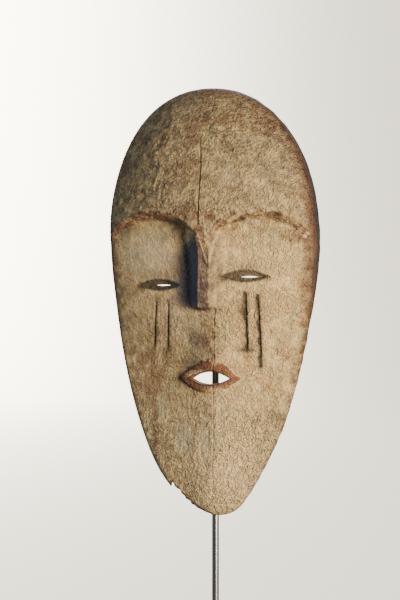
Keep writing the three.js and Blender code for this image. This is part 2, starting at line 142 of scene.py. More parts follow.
# The big forms of the face: a shallow keel below the brows, half an egg above them, and a straight nose.
# The hollow behind follows them at the wall's thickness and ends at a flat rim.
WALL = 8.5
RIM_FLAT = 4.5
INNER_WALL_RUN = 6.0
ARRIS_RADIUS = 4.5
BACK_EDGE_RADIUS = 1.5
JAW_BACK_INSET = 2.5
BROW_BACK_INSET = 0.5
BACK_INSET_CHANGE = (130.0, 220.0)
HOLLOW_BROW = (226.0, 286.0)
MOUTH = (3.0, 119.0)
MUZZLE_DEEP = 4.0
MUZZLE_WIDE = 30.0
MUZZLE_TALL = 32.0
MUZZLE_ABOVE = 4.0
JAW_ROUNDNESS = 1.5
CHEEK_ROUNDNESS = 2.3
ROUNDNESS_RUN = 80.0
FACE_FULLNESS = 0.85
FOREHEAD_ROUNDNESS = 1.8
FOREHEAD_FULLNESS = 0.75
FOREHEAD_DEPTH = 66.0
FOREHEAD_TOP_UP = 248.0
CROWN_DEPTH = 10.0
BROW_STEP_RUN = 9.0
NOSE_TIP_UP = 180.0
NOSE_ROOT_UP = 240.0
NOSE_TIP_DEPTH = 50.0
NOSE_ROOT_DEPTH = 66.0
NOSE_HALF_WIDTH = 4.4
NOSE_FLANK_SLOPE = 1.45
NOSE_END_SLOPE = 4.0
NOSE_ROOT_SLOPE = 0.6
NOSE_BLEND = 3.0

edge_depth = through(
    (0, 12), (60, 11.5), (120, 12), (180, 16), (212, 22),
    (240, 26), (262, 26), (300, 20), (340, 13), (370, 10),
)
keel_depth = through(
    (0, 15), (17, 19), (60, 24), (118, 27.5), (176, 38),
    (210, 44), (240, 47), (262, 48), (310, 44), (370, 10),
)
keel_x = through((0, 0), (20, 2.7), (64, 5.5), (118, 7.5), (176, 8), (255, 2), (370, -2))
nose_x = through(
    (0, 2), (64, 5.5), (118, 7), (160, 5.6), (180, 3.2),
    (210, 5.2), (228, 6.4), (255, 3), (300, 3.6), (370, -2),
)
brow_up = through(
    (-97, 226), (-78, 241.5), (-60, 249.5), (-42, 252.5), (-22, 249.5), (-9, 244), (5, 230),
    (11, 231.5), (18, 242), (31, 250.5), (48, 253.2), (64, 252), (84, 243), (97, 230),
)


def share_to_edge(x, up):
    """How far a point lies on the way from the keel, 0, to the outline, 1."""
    keel = keel_x(up)
    edge = rim_centre(up) + np.where(x >= keel, 1.0, -1.0) * half_width(up)
    return np.clip((x - keel) / np.where(edge == keel, 1.0, edge - keel), 0.0, 1.0)


def face_plane(x, up):
    roundness = mix(JAW_ROUNDNESS, CHEEK_ROUNDNESS, ramp(up, MOUTH[1], MOUTH[1] + ROUNDNESS_RUN))
    across = (1.0 - share_to_edge(x, up) ** roundness) ** FACE_FULLNESS
    muzzle = MUZZLE_DEEP * bell(x, MOUTH[0], MUZZLE_WIDE) * bell(up, MOUTH[1] + MUZZLE_ABOVE, MUZZLE_TALL)
    return mix(edge_depth(up), keel_depth(up) + muzzle, across)


def forehead(x, up):
    t = np.clip((up - FOREHEAD_TOP_UP) / (MASK_HEIGHT - FOREHEAD_TOP_UP), 0.0, 1.0)
    crest = mix(CROWN_DEPTH, FOREHEAD_DEPTH, np.sqrt(1.0 - t * t))
    across = (1.0 - share_to_edge(x, up) ** FOREHEAD_ROUNDNESS) ** FOREHEAD_FULLNESS
    return mix(np.minimum(edge_depth(up), crest), crest, across)


def nose(x, up):
    t = np.clip((up - NOSE_TIP_UP) / (NOSE_ROOT_UP - NOSE_TIP_UP), 0.0, 1.0)
    flank = np.maximum(0.0, np.abs(x - nose_x(up)) - NOSE_HALF_WIDTH) * NOSE_FLANK_SLOPE
    tip = np.maximum(0.0, NOSE_TIP_UP - up) * NOSE_END_SLOPE
    root = np.maximum(0.0, up - NOSE_ROOT_UP) * NOSE_ROOT_SLOPE
    return mix(NOSE_TIP_DEPTH, NOSE_ROOT_DEPTH, t) - flank - tip - root


def front_depth(x, up, from_edge):
    """Depth of the front before its finer carving, with the nose blended in and a rounded outer edge."""
    broad = mix(face_plane(x, up), forehead(x, up), smooth((up - brow_up(x)) / BROW_STEP_RUN))
    bridge = nose(x, up)
    depth = (broad + bridge + np.sqrt((broad - bridge) ** 2 + NOSE_BLEND**2)) / 2.0
    gap = ARRIS_RADIUS - np.minimum(ARRIS_RADIUS, from_edge)
    return depth - ARRIS_RADIUS + np.sqrt(ARRIS_RADIUS**2 - gap**2)


def back_inset(up):
    """How much smaller the mask's outline is at its back than at its front."""
    return mix(JAW_BACK_INSET, BROW_BACK_INSET, ramp(up, *BACK_INSET_CHANGE))


def back_depth(x, up, from_edge):
    broad = mix(face_plane(x, up), forehead(x, up), ramp(up, *HOLLOW_BROW))
    from_rim = from_edge - back_inset(up) - BACK_EDGE_RADIUS - RIM_FLAT
    return np.maximum(0.0, broad - WALL) * smooth(from_rim / INNER_WALL_RUN)


# The finer carving: raised lips, eyes sunk round their slits, cut marks, brows and the splits in the wood.
# Every mark is a line or a lens in the plane of the face. A lens is given by its half width and its heights
# above and below its corners, and a random swell by its height, width, length and seed.
LIPS = (28.0, 15.0, 13.0)
LIPS_PROUD = 2.6
LIPS_ROUNDING = 2.2
MOUTH_HOLE = (18.4, 6.2, 5.5)
MOUTH_HOLE_TAPER = 0.88
MOUTH_EDGE_DROP = 0.9
MOUTH_EDGE_RUN = 1.6
EYES = ((-39.0, 199.0), (37.5, 206.0))
EYE_HOLLOWS = ((20.5, 5.6, 4.6), (21.0, 6.2, 4.6))
EYE_HOLLOW_DEPTH = 3.4
EYE_HOLLOW_RUN = 3.1
EYE_SLITS = ((7.2, 0.5, 0.45), (7.6, 0.7, 0.65))
SLIT_ASIDE = 2.5
LID_DROP = 0.7
LID_PLACE = (-1.0, 7.5)
LID_REACH = (15.0, 4.5)
CUT_MARKS = (
    ((-42.5, 188.0), (-47.5, 144.0)),
    ((-31.5, 186.0), (-34.8, 142.0)),
    ((37.0, 192.0), (36.0, 142.0)),
    ((47.5, 190.0), (47.0, 130.0)),
)
CUT_DEPTH = 1.6
CUT_HALF_WIDTH = 1.5
CUT_RUN_OUT = 0.125
CUT_WAVER = ((0.35, 2.4, 5.0, 13),)
BROW_SPLIT = ((2.5, 250.0), (3.0, 266.0), (3.3, 279.0), (3.8, 298.0), (2.2, 317.0), (0.9, 336.0))
FACE_SPLIT = ((11.0, 180.0), (8.8, 161.0), (8.4, 139.0), (6.8, 107.0), (5.4, 66.0), (3.3, 19.0))
SPLITS = ((BROW_SPLIT, 2.6, 0.75), (FACE_SPLIT, 1.6, 0.55))
SPLIT_FADE = 2.2
SPLIT_WAVER = ((0.18, 2.0, 5.0, 14),)
ROOT_RIDGES = (((2.2, 244.5), (5.0, 232.6), (8.8, 218.3)), ((18.6, 246.4), (14.1, 232.7), (10.8, 218.3)))
RIDGE_HEIGHT = 0.9
RIDGE_HALF_WIDTH = 1.5
BROW_PITS = (((36.5, 255.5), (2.1, 2.0)), ((66.5, 259.0), (3.0, 1.8)))
BROW_PIT_DEPTH = 1.7
CALM_EDGE = 6.0
BROAD_SWELLS = ((0.35, 21.0, 33.0, 11), (0.22, 9.0, 14.0, 12))
BROW_SWELLS = ((0.5, 3.2, 2.2, 15), (0.3, 7.0, 3.0, 16))
FINE_SWELLS = ((0.12, 2.3, 2.6, 17),)
LEFT_BROW_FOLDS = ((0.8, 0.5, 4.6, 12.0, 21), (0.8, 0.75, 3.0, 6.5, 23))
RIGHT_BROW_FOLDS = ((0.7, -0.3, 6.0, 9.0, 25), (0.5, 0.5, 4.0, 7.0, 31))
JAW_FOLDS = ((0.6, 0.2, 3.6, 5.0, 29),)
CHIN_FOLDS = ((0.9, 0.03, 4.0, 30.0, 27),)
CHIN_SLAB = ((-13.0, 66.0), (9.0, 40.0))
SCOOP_WIDTH = 11.0
SCOOP_LENGTH = 27.0
SCOOP_STAGGER = 0.41
SCOOP_DEPTH = 0.9
SCOOPS_BEGIN = (3.0, 8.0)
SCOOP_DRIFT = ((0.5, 34.0, 60.0, 31),)
SCOOP_SHIFT = ((0.3, 20.0, 40.0, 32),)
SWELL_TABLE = 89
SWELL_START = (41.3, 23.7)


def lens_inside(x, up, place, lens):
    """How far a point lies inside a lens with pointed ends, in mm, and below nought outside it."""
    half, above, below = lens
    t = (x - place[0]) / half
    rise = up - place[1]
    over = (above * (1.0 - t * t) - rise) / np.sqrt(1.0 + (2.0 * above * t / half) ** 2)
    under = (below * (1.0 - t * t) + rise) / np.sqrt(1.0 + (2.0 * below * t / half) ** 2)
    return np.minimum(over, under)


def lens_points(place, lens, count, scale=1.0):
    half, above, below = lens
    t = np.cos(np.linspace(0.0, math.pi, count // 2 + 1))
    top = np.stack([half * t, above * (1.0 - t * t)], 1)
    foot = np.stack([half * t[::-1], -below * (1.0 - t * t)], 1)
    return np.array(place) + scale * np.vstack([top[:-1], foot[:-1]])


def line_distance(x, up, points):
    """Distance from a line through points, and how far along it the nearest place is, 0 to 1."""
    nearest, share = np.full(np.shape(x), np.inf), np.zeros(np.shape(x))
    for i, ((ax, au), (bx, bu)) in enumerate(zip(points, points[1:])):
        dx, du = bx - ax, bu - au
        t = np.clip(((x - ax) * dx + (up - au) * du) / (dx * dx + du * du), 0.0, 1.0)
        gap = np.hypot(x - ax - t * dx, up - au - t * du)
        share = np.where(gap < nearest, (i + t) / (len(points) - 1), share)
        nearest = np.minimum(nearest, gap)
    return nearest, share


def uneven(x, up, across, along, seed):
    """Random swells between -1 and 1, whose hills are about `across` by `along` mm."""
    table = np.random.default_rng(seed).uniform(-1.0, 1.0, (SWELL_TABLE, SWELL_TABLE))
    a, b = x / across + SWELL_START[0], up / along + SWELL_START[1]
    i, j = np.floor(a).astype(int), np.floor(b).astype(int)
    s, t = smooth(a - i), smooth(b - j)
    i, j, k, m = (place % SWELL_TABLE for place in (i, j, i + 1, j + 1))
    return mix(mix(table[i, j], table[k, j], s), mix(table[i, m], table[k, m], s), t)


def wrinkles(x, up, lean, across, along, seed):
    """Thin ridges of dried clay, 0 to 1, that run up the mask and lean to the right by an angle."""
    side = x * math.cos(lean) - up * math.sin(lean)
    rise = x * math.sin(lean) + up * math.cos(lean)
    side = side + 0.5 * across * uneven(x, up, 2.0 * across, 2.0 * across, seed + 1)
    return (1.0 - np.abs(uneven(side, rise, across, along, seed))) ** 3


def swells(x, up, kinds):
    """Random swells added up, each kind with its height, its width, its length and its seed."""
    return sum(height * uneven(x, up, *kind) for height, *kind in kinds)


def folds(x, up, kinds):
    """Folds of dried clay added up, each kind with its height, lean, width, length and seed."""
    return sum(height * wrinkles(x, up, *kind) for height, *kind in kinds)


def ellipse(x, up, centre, reach):
    """A soft oval, 1 in its middle."""
    return np.exp(-(((x - centre[0]) / reach[0]) ** 2) - ((up - centre[1]) / reach[1]) ** 2)


def groove(gap, wide):
    """1 on the line of a V-shaped cut or ridge and 0 at its edge, half its width away."""
    return np.clip(1.0 - gap / wide, 0.0, 1.0)


def brow_band(x, up):
    """1 on the sloping band between the face and the forehead."""
    over = (up - brow_up(x)) / BROW_STEP_RUN
    return ramp(over, 0.0, 0.25) * ramp(over, 1.35, 1.0)


def carving(x, up, from_edge):
    """Depth of the finished front, with its carving, splits and dried clay."""
    depth = front_depth(x, up, from_edge)
    inside = ramp(from_edge, 0.0, CALM_EDGE)
    depth = depth + inside * swells(x, up, BROAD_SWELLS)
    depth = depth + LIPS_PROUD * ramp(lens_inside(x, up, MOUTH, LIPS), 0.0, LIPS_ROUNDING)
    hole = lens_inside(x, up, MOUTH, MOUTH_HOLE)
    depth = depth - MOUTH_EDGE_DROP * ramp(hole, -MOUTH_EDGE_RUN, 0.0)
    for eye, hollow in zip(EYES, EYE_HOLLOWS):
        depth = depth - EYE_HOLLOW_DEPTH * ramp(lens_inside(x, up, eye, hollow), 0.0, EYE_HOLLOW_RUN)
        depth = depth - LID_DROP * ellipse(x - eye[0], up - eye[1], LID_PLACE, LID_REACH)
    for mark in CUT_MARKS:
        gap, share = line_distance(x, up, mark)
        gap = gap + swells(x, up, CUT_WAVER)
        ends = smooth(share / CUT_RUN_OUT) * smooth((1.0 - share) / CUT_RUN_OUT)
        depth = depth - CUT_DEPTH * groove(gap, CUT_HALF_WIDTH) * ends
    for line, deep, wide in SPLITS:
        gap, share = line_distance(x, up, line)
        gap = gap + swells(x, up, SPLIT_WAVER)
        depth = depth - deep * smooth((1.0 - share) * SPLIT_FADE) * groove(gap, wide)
    for ridge in ROOT_RIDGES:
        depth = depth + RIDGE_HEIGHT * groove(line_distance(x, up, ridge)[0], RIDGE_HALF_WIDTH)
    depth = depth + inside * brow_band(x, up) * swells(x, up, BROW_SWELLS)
    for place, reach in BROW_PITS:
        depth = depth - BROW_PIT_DEPTH * ellipse(x, up, place, reach)
    left_brow = ramp(x, -8.0, -30.0) * ramp(up, 256.0, 268.0)
    right_brow = ramp(x, 10.0, 30.0) * ramp(up, 262.0, 272.0)
    jaw = ramp(up, 110.0, 80.0)
    depth = depth + inside * left_brow * folds(x, up, LEFT_BROW_FOLDS)
    depth = depth + inside * right_brow * folds(x, up, RIGHT_BROW_FOLDS)
    depth = depth + inside * jaw * folds(x, up, JAW_FOLDS)
    depth = depth + ellipse(x, up, *CHIN_SLAB) * folds(x, up, CHIN_FOLDS)
    return depth + inside * swells(x, up, FINE_SWELLS)


def gouged(x, up, from_edge):
    """Depth of the hollow behind, with the rows of shallow scoops that the gouge left."""
    depth = back_depth(x, up, from_edge)
    across = x / SCOOP_WIDTH + swells(x, up, SCOOP_DRIFT)
    along = up / SCOOP_LENGTH + SCOOP_STAGGER * np.floor(across) + swells(x, up, SCOOP_SHIFT)
    scoop = 1.0 - 1.2 * (2.0 * (across % 1.0) - 1.0) ** 2 - 0.8 * (2.0 * (along % 1.0) - 1.0) ** 2
    return depth + SCOOP_DEPTH * scoop * ramp(depth, *SCOOPS_BEGIN)


# The carved surface as a mesh: one sheet over the front and a coarser one over the hollow, each meshed
# evenly with extra points along edges and cuts, joined by the wall round the rim and through the holes.
FRONT_PITCH = 0.98
FRONT_ROOM = 0.62
BACK_PITCH = 2.5
BACK_ROOM = 0.55
GRID_SIDES = (-95.0, 99.0)
POINT_MERGE = 1e-6
ARRIS_STEPS = (0.35, 0.95, 1.8, 2.9, 4.1)
SIDE_STEPS = 9
BACK_EDGE_STEPS = ((0.6, 0.45), (0.9, 0.0))
INNER_STEPS = (1.2, 1.2, 1.2, 1.2, 1.2)
HOLE_POINTS = 96
SLIT_POINTS = 44
HOLE_STEPS = 6
LIPS_POINTS = 110
LIPS_SCALES = (1.0, 0.93)
MOUTH_EDGE_SCALE = 1.06
EYE_POINTS = 70
EYE_SCALES = (1.0, 0.75, 0.45)
CUT_SPACING = 0.9
CUT_SIDE = 1.3
LINE_SPACING = 0.95
BROW_ENDS = (-88.0, 91.0)
BROW_POINTS = 180
NOSE_POINTS = 40
NOSE_TIP_SIDE = 8.0
MARK_ROOM = 0.28
MARK_FROM_RIM = 0.5
MARK_FROM_HOLE = 0.25
WORN_BACK = 0.22
WORN_WAVER = ((0.22, 6.0, 6.0, 41),)
NICK_DEPTH = 0.5
NICKS_FROM = 0.6
NICKS = ((1.0, 3.0, 3.0, 42),)


def along_line(points, spacing, aside=0.0):
    """Even points along a line, moved sideways by a distance."""
    path = np.array(points, float)
    reach = np.concatenate([[0.0], np.cumsum(np.hypot(*np.diff(path, axis=0).T))])
    places = np.linspace(0.0, reach[-1], max(2, int(reach[-1] / spacing)))
    at = np.stack([np.interp(places, reach, path[:, k]) for k in (0, 1)], 1)
    run = np.gradient(at, axis=0)
    return at + aside * np.stack([-run[:, 1], run[:, 0]], 1) / np.hypot(*run.T)[:, None]


def thinned(groups, room):
    """Points of all groups in turn, without those closer than some room to an earlier one."""
    kept, taken = [], set()
    for point in np.vstack(groups):
        cell = (int(point[0] // room), int(point[1] // room))
        if not any((cell[0] + i, cell[1] + j) in taken for i in (-1, 0, 1) for j in (-1, 0, 1)):
            taken.add(cell)
            kept.append(point)
    return np.array(kept)


def clear_of(borders, points, room):
    """The points that are farther than some room from every border point."""
    tree = kdtree.KDTree(len(borders))
    for i, (x, up) in enumerate(borders):
        tree.insert((x, up, 0.0), i)
    tree.balance()
    return np.array([(x, up) for x, up in points if tree.find((x, up, 0.0))[2] > room])


def inside_ring(points, ring):
    inside = np.zeros(len(points), bool)
    for (ax, au), (bx, bu) in zip(ring, np.roll(ring, -1, 0)):
        crosses = (au > points[:, 1]) != (bu > points[:, 1])
        if crosses.any():
            at = ax + (points[:, 1] - au) * (bx - ax) / (bu - au if bu != au else 1.0)
            inside ^= crosses & (points[:, 0] < at)
    return inside


def sheet(rings, marks, pitch, room):
    """A flat mesh inside the first ring and outside the others, through the points of the marks."""
    border = np.vstack(rings)
    fixed = np.vstack([border, marks]) if len(marks) else border
    rows = np.arange(0.0, MASK_HEIGHT, pitch * math.sqrt(3.0) / 2.0)
    grid = [
        (x, up)
        for r, up in enumerate(rows)
        for x in np.arange(GRID_SIDES[0] + (r % 2) * pitch / 2.0, GRID_SIDES[1], pitch)
        if abs(x - rim_centre(up)) < half_width(up)
    ]
    points = np.vstack([fixed, clear_of(fixed, grid, room * pitch)])
    edges, first = [], 0
    for ring in rings:
        edges += [(first + i, first + (i + 1) % len(ring)) for i in range(len(ring))]
        first += len(ring)
    flat, _, faces, _, _, _ = delaunay_2d_cdt([Vector(p) for p in points], edges, [], 0, POINT_MERGE)
    assert len(flat) == len(points)
    faces = np.array(faces)
    middle = points[faces].mean(1)
    keep = inside_ring(middle, rings[0])
    for ring in rings[1:]:
        keep &= ~inside_ring(middle, ring)
    return points, faces[keep]


holes = [lens_points(MOUTH, MOUTH_HOLE, HOLE_POINTS)]
for (x, up), slit in zip(EYES, EYE_SLITS):
    holes.append(lens_points((x + SLIT_ASIDE, up), slit, SLIT_POINTS))

nick = NICK_DEPTH * np.maximum(0.0, swells(rim[:, 0], rim[:, 1], NICKS) - NICKS_FROM)
nick = nick + WORN_BACK + swells(rim[:, 0], rim[:, 1], WORN_WAVER)


def rim_ring(inward):
    """The outline's points moved in from the rim, each by its own distance."""
    return rim + rim_inward * inward[:, None]


front_rim = rim_ring(nick)
marks = [front_rim + rim_inward * step for step in ARRIS_STEPS]
marks += [lens_points(MOUTH, LIPS, LIPS_POINTS, scale) for scale in LIPS_SCALES]
marks.append(lens_points(MOUTH, MOUTH_HOLE, HOLE_POINTS, MOUTH_EDGE_SCALE))
for eye, hollow in zip(EYES, EYE_HOLLOWS):
    marks += [lens_points(eye, hollow, int(EYE_POINTS * scale), scale) for scale in EYE_SCALES]
creases = [(line, CUT_SIDE) for line in CUT_MARKS]
creases += [(line, wide) for line, deep, wide in SPLITS]
creases += [(line, RIDGE_HALF_WIDTH) for line in ROOT_RIDGES]
for line, wide in creases:
    marks += [along_line(line, CUT_SPACING, aside) for aside in (0.0, -wide, wide)]
brow_line = [(x, float(brow_up(x))) for x in np.linspace(*BROW_ENDS, BROW_POINTS)]
marks += [along_line(brow_line, LINE_SPACING, aside) for aside in (0.0, RIDGE_HALF_WIDTH)]
for side in (-NOSE_HALF_WIDTH, NOSE_HALF_WIDTH):
    heights = np.linspace(NOSE_TIP_UP, NOSE_ROOT_UP, NOSE_POINTS)
    marks.append(along_line([(float(nose_x(up)) + side, up) for up in heights], LINE_SPACING))
nose_tip = [(nose_x(NOSE_TIP_UP) + side, NOSE_TIP_UP) for side in (-NOSE_TIP_SIDE, NOSE_TIP_SIDE)]
marks.append(along_line(nose_tip, LINE_SPACING))
marks = thinned([front_rim, *holes, *marks], MARK_ROOM)
marks = marks[edge_distance(marks[:, 0], marks[:, 1]) > MARK_FROM_RIM]
marks = clear_of(np.vstack([front_rim, *holes]), marks, MARK_FROM_HOLE)
front_points, front_faces = sheet([front_rim, *holes], marks, FRONT_PITCH, FRONT_ROOM)
front_from_edge = edge_distance(front_points[:, 0], front_points[:, 1])
front_depths = carving(front_points[:, 0], front_points[:, 1], front_from_edge)

inset = back_inset(rim[:, 1])
wall_rings = []
for t in np.arange(1, SIDE_STEPS + 1) / SIDE_STEPS:
    wall_rings.append((rim_ring(nick + t * inset), mix(front_depths[: len(rim)], BACK_EDGE_RADIUS, t)))
inward = nick + inset
for step, depth in BACK_EDGE_STEPS:
    inward = inward + step
    wall_rings.append((rim_ring(inward), np.full(len(rim), depth)))
wall_rings.append((rim_ring(inward + RIM_FLAT / 2.0), np.zeros(len(rim))))
inward = inset + BACK_EDGE_RADIUS + RIM_FLAT
for step in (0.0, *INNER_STEPS):
    inward = inward + step
    place = rim_ring(inward)
    wall_rings.append((place, back_depth(place[:, 0], place[:, 1], inward)))
back_holes = [lens_points(MOUTH, MOUTH_HOLE, HOLE_POINTS, MOUTH_HOLE_TAPER), *holes[1:]]
back_points, back_faces = sheet([wall_rings[-1][0], *back_holes], [], BACK_PITCH, BACK_ROOM)
back_from_edge = edge_distance(back_points[:, 0], back_points[:, 1])
back_depths = gouged(back_points[:, 0], back_points[:, 1], back_from_edge)
back_depths[: len(rim)] = wall_rings[-1][1]

positions = [np.column_stack([front_points, front_depths])]
triangles = [front_faces]
count = len(front_points)
rim_ids = [np.arange(len(rim))]
for place, depth in wall_rings[:-1]:
    positions.append(np.column_stack([place, depth]))
    rim_ids.append(np.arange(count, count + len(rim)))
    count += len(rim)
back_first = count
positions.append(np.column_stack([back_points, back_depths]))
triangles.append(back_faces[:, ::-1] + back_first)
count += len(back_points)
rim_ids.append(np.arange(back_first, back_first + len(rim)))


def stitch(rings):
    """Two triangles between each pair of neighbours on each two rings that follow each other."""
    for ring_a, ring_b in zip(rings, rings[1:]):
        a, b = np.roll(ring_a, -1), np.roll(ring_b, -1)
        triangles.append(np.vstack([np.stack([a, ring_a, ring_b], 1), np.stack([a, ring_b, b], 1)]))


stitch(rim_ids)
first = len(rim)
for hole, back_hole in zip(holes, back_holes):
    ids = [np.arange(first, first + len(hole))]
    near = positions[0][first : first + len(hole)]
    far = np.column_stack([back_hole, back_depths[first : first + len(hole)]])
    for t in np.arange(1, HOLE_STEPS) / HOLE_STEPS:
        positions.append(mix(near, far, t))
        ids.append(np.arange(count, count + len(hole)))
        count += len(hole)
    ids.append(np.arange(back_first + first, back_first + first + len(hole)))
    stitch(ids[::-1])
    first += len(hole)
positions = np.vstack(positions)
triangles = np.vstack(triangles)

mask_mesh = bpy.data.meshes.new("carved_mask")
placed = np.column_stack([positions[:, 0], RIM_Y - positions[:, 2], CHIN_ABOVE_FLOOR + positions[:, 1]]) * MM
placed = np.clip(placed, *(np.array(corner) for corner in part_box("mask")))
mask_mesh.from_pydata(placed.tolist(), [], triangles.tolist())
mask = bpy.data.objects.new("carved_mask", mask_mesh)
bpy.context.collection.objects.link(mask)

# A piece has split off the left of the chin along the grain, and a splinter still hangs at its upper end.
# A prism with a ragged side, which leans back as the grain does, is cut away from the carved mask.
CHIN_BREAK = (
    (-37.0, 19.5), (-34.3, 29.2), (-33.2, 26.0), (-30.4, 23.6), (-27.6, 22.2), (-26.6, 18.8), (-23.4, 17.4),
    (-22.0, 13.8), (-18.6, 12.6), (-17.2, 9.4), (-13.4, 7.8), (-12.4, 5.2), (-8.8, 4.4), (-6.6, 2.6),
    (-4.6, -6.0), (-50.0, -6.0),
)
BREAK_DEPTHS = np.arange(-4.0, 44.0, 1.6)
BREAK_SPACING = 1.1
BREAK_LEAN = np.array([0.27, -0.12])
BREAK_TRUE_AT = 12.0
BREAK_RAGS = ((0.55, 2.2, 2.2, 51),)
SHARP_ANGLE = math.radians(50.0)

break_path = along_line(CHIN_BREAK, BREAK_SPACING)
break_points = []
for depth in BREAK_DEPTHS:
    ragged = swells(break_path[:, 0] + 3 * depth, break_path[:, 1] + depth, BREAK_RAGS)
    here = break_path + BREAK_LEAN * (depth - BREAK_TRUE_AT) + np.column_stack([ragged, 0.7 * ragged])
    break_points += [(x * MM, (RIM_Y - depth) * MM, (CHIN_ABOVE_FLOOR + up) * MM) for x, up in here]
around = len(break_path)
break_faces = [tuple(range(around)), tuple(reversed(range(len(break_points) - around, len(break_points))))]
for i in range(len(BREAK_DEPTHS) - 1):
    for j in range(around):
        a, b = i * around + j, i * around + (j + 1) % around
        break_faces.append((a, a + around, b + around, b))
cutter_mesh = bpy.data.meshes.new("broken_piece")
cutter_mesh.from_pydata(break_points, [], break_faces)
cutter = bpy.data.objects.new("broken_piece", cutter_mesh)
bpy.context.collection.objects.link(cutter)
breaking = mask.modifiers.new("chin_break", "BOOLEAN")
breaking.operation = "DIFFERENCE"
breaking.solver = "MANIFOLD"
breaking.object = cutter
broken = bpy.data.meshes.new_from_object(mask.evaluated_get(bpy.context.evaluated_depsgraph_get()))
mask.modifiers.clear()
mask.data = broken
bpy.data.objects.remove(cutter)
broken.shade_smooth()
broken.set_sharp_from_angle(angle=SHARP_ANGLE)

# The mask's wear, with some painted shade: where the clay is thick, rubbed off, browned, sooty or whitened,
# and where shade is painted beside the nose, round the lips, above the eyes and on the mask's left and crown,
# kept on the mesh's points for its finish to read. The lists give soft ovals by centre, reach and strength,
# those of the eye table from each eye's middle, and PALE_STREAKS gives lines with their half width.
CLAY_END = 1.3
CLAY_HEM = ((1.4, 6.0, 6.0, 61),)
RUBBED = (
    ((4, 341), (16, 10), 0.36),
    ((54, 338), (16, 10), 0.44),
    ((-49, 88), (2.6, 30), 0.5),
    ((54, 117), (5, 9), 0.4),
    ((8, 152), (7, 18), 0.42),
    ((-6, 256), (12, 7), 0.55),
    ((14, 256), (9, 6), 0.5),
    ((37.5, 24), (3, 7), 0.6),
    ((82, 238), (9, 6), 0.46),
)
BROWNED = (
    ((-6, 331), (13, 16), 1.0),
    ((-9, 299), (12, 16), 0.95),
    ((-11, 266), (12, 9), 0.7),
    ((26, 339), (12, 11), 0.75),
    ((54, 336), (24, 16), 0.62),
    ((80, 240), (13, 7), 0.75),
    ((34, 247), (16, 4), 0.4),
    ((-66, 110), (10, 40), 0.55),
    ((-50, 120), (15, 28), 0.74),
    ((-49, 88), (3.4, 34), 0.9),
    ((-36, 132), (7, 14), 0.4),
    ((42, 76), (5, 20), 0.55),
    ((49, 68), (5, 7), 0.7),
    ((12, 150), (5, 16), 0.35),
    ((36.5, 22), (4, 8), 0.9),
    ((-2, 152), (8, 9), 0.5),
)
EYE_SOOT_AND_LID_SHADE = (
    # The first oval is painted shade on the lid above the eye; the other two are soot at its corners.
    ((1, 8), (17, 5), 0.5),
    ((-17, -1), (5, 3.2), 0.95),
    ((16, -0.5), (5, 2.4), 0.7),
)
LEFT_CUT_SOOT = (0.72, 1.8)
RIGHT_CUT_SOOT = (0.97, 2.4)
CUT_SOOT_WAVER = ((0.7, 2.4, 5.0, 33),)
SPLIT_SOOT = ((BROW_SPLIT, 2.0), (FACE_SPLIT, 0.9))
SOOT_AND_PAINTED_SHADE = (
    ((36.3, 143.6), (9, 2.4), 0.95),
    ((36.5, 148), (3.6, 6), 0.7),
    ((35.5, 178), (3.8, 11), 0.8),
    ((-34.5, 146), (3.5, 7), 0.7),
    ((61.6, 85.2), (8, 4), 0.6),
    ((36.5, 255.5), (3.4, 3), 0.9),
    ((66.5, 259), (4.4, 2.6), 0.9),
    ((84, 238), (3, 5), 0.5),
    ((-72, 246), (14, 6), 0.55),
    ((36.2, 184), (2.6, 8), 0.8),
    ((47, 138), (1.8, 10), 0.9),
    # Painted shade at the lips' left corner, on their upper left and under them, where they turn from the
    # light.
    ((-22.5, 120), (4.5, 6.5), 0.8),
    ((-12, 133), (11, 6), 0.55),
    ((-7, 128.5), (13, 4), 0.42),
    ((-12, 113), (8, 3), 0.35),
    # Painted shadow of the nose, falling down to the left of the keel above the lips.
    ((1, 152), (10, 19), 0.42),
    ((-3.4, 133.6), (2.4, 1.3), 1.3),
    ((2.6, 135.2), (1.7, 1.2), 1.3),
    # Painted shade on the upper left of the lips.
    ((-13, 128), (9, 2.6), 0.75),
)
LIT_MOUTH_CORNER = ((-9, 124), (9, 4))
LIPS_HEM = ((0.9, 4.0, 4.0, 62),)
OCHRE_LOST = (
    ((-13, 122.4), (6.5, 2.4), 0.9),
    ((-4, 125.6), (7, 1.6), 0.8),
    ((8.6, 131.5), (2.4, 4), 0.7),
    ((4, 108), (8, 3.6), 0.62),
    ((13, 109), (6, 3.5), 0.6),
    ((22, 121), (4, 4), 0.35),
)
PALE_AREAS = (
    ((20, 36), (26, 50), 0.95),
    ((52, 222), (26, 18), 0.35),
    ((-42, 224), (22, 20), 0.3),
)
PALE_STREAKS = (
    (((27, 253.6), (37, 258.6)), 1.3),
    (((46, 260.4), (50, 261.6)), 1.3),
    (((57, 261.6), (62, 261.4)), 1.0),
    (((87.4, 240.4), (89.4, 242.4)), 1.9),
    (((28, 23.5), (30.5, 26)), 2.2),
    (((-7.4, 79), (-6.2, 66), (-7.4, 44)), 0.7),
    (((-1.2, 181), (0.2, 205), (2, 226), (0.4, 240)), 0.5),
    (((-14, 121.4), (-9, 123.9), (-3, 125.4)), 0.6),
    (((6.4, 103), (5.2, 66), (3.1, 16)), 1.2),
    *((ridge, 0.5) for ridge in ROOT_RIDGES),
)
GREYED = (
    ((-20.6, 67), (8, 13), 0.9),
    ((-3, 64), (4, 19), 0.9),
    ((-44, 96), (6, 9), 0.7),
    ((26, 292), (14, 16), 0.5),
    ((44, 318), (9, 10), 0.4),
    ((-14, 286), (6, 14), 0.5),
    ((14, 96), (8, 10), 0.35),
    ((-48, 224), (34, 22), 0.55),
    ((-26, 168), (22, 24), 0.42),
    ((60, 292), (20, 26), 0.45),
)


def most(*shares):
    """The strongest of several shares at each point."""
    return np.maximum.reduce(shares)


def spots(x, up, ovals, fullness=1.0):
    """The strongest of several soft ovals at each point; a fullness below 1 makes their middles broader."""
    return most(*(strength * ellipse(x, up, centre, reach) ** fullness for centre, reach, strength in ovals))


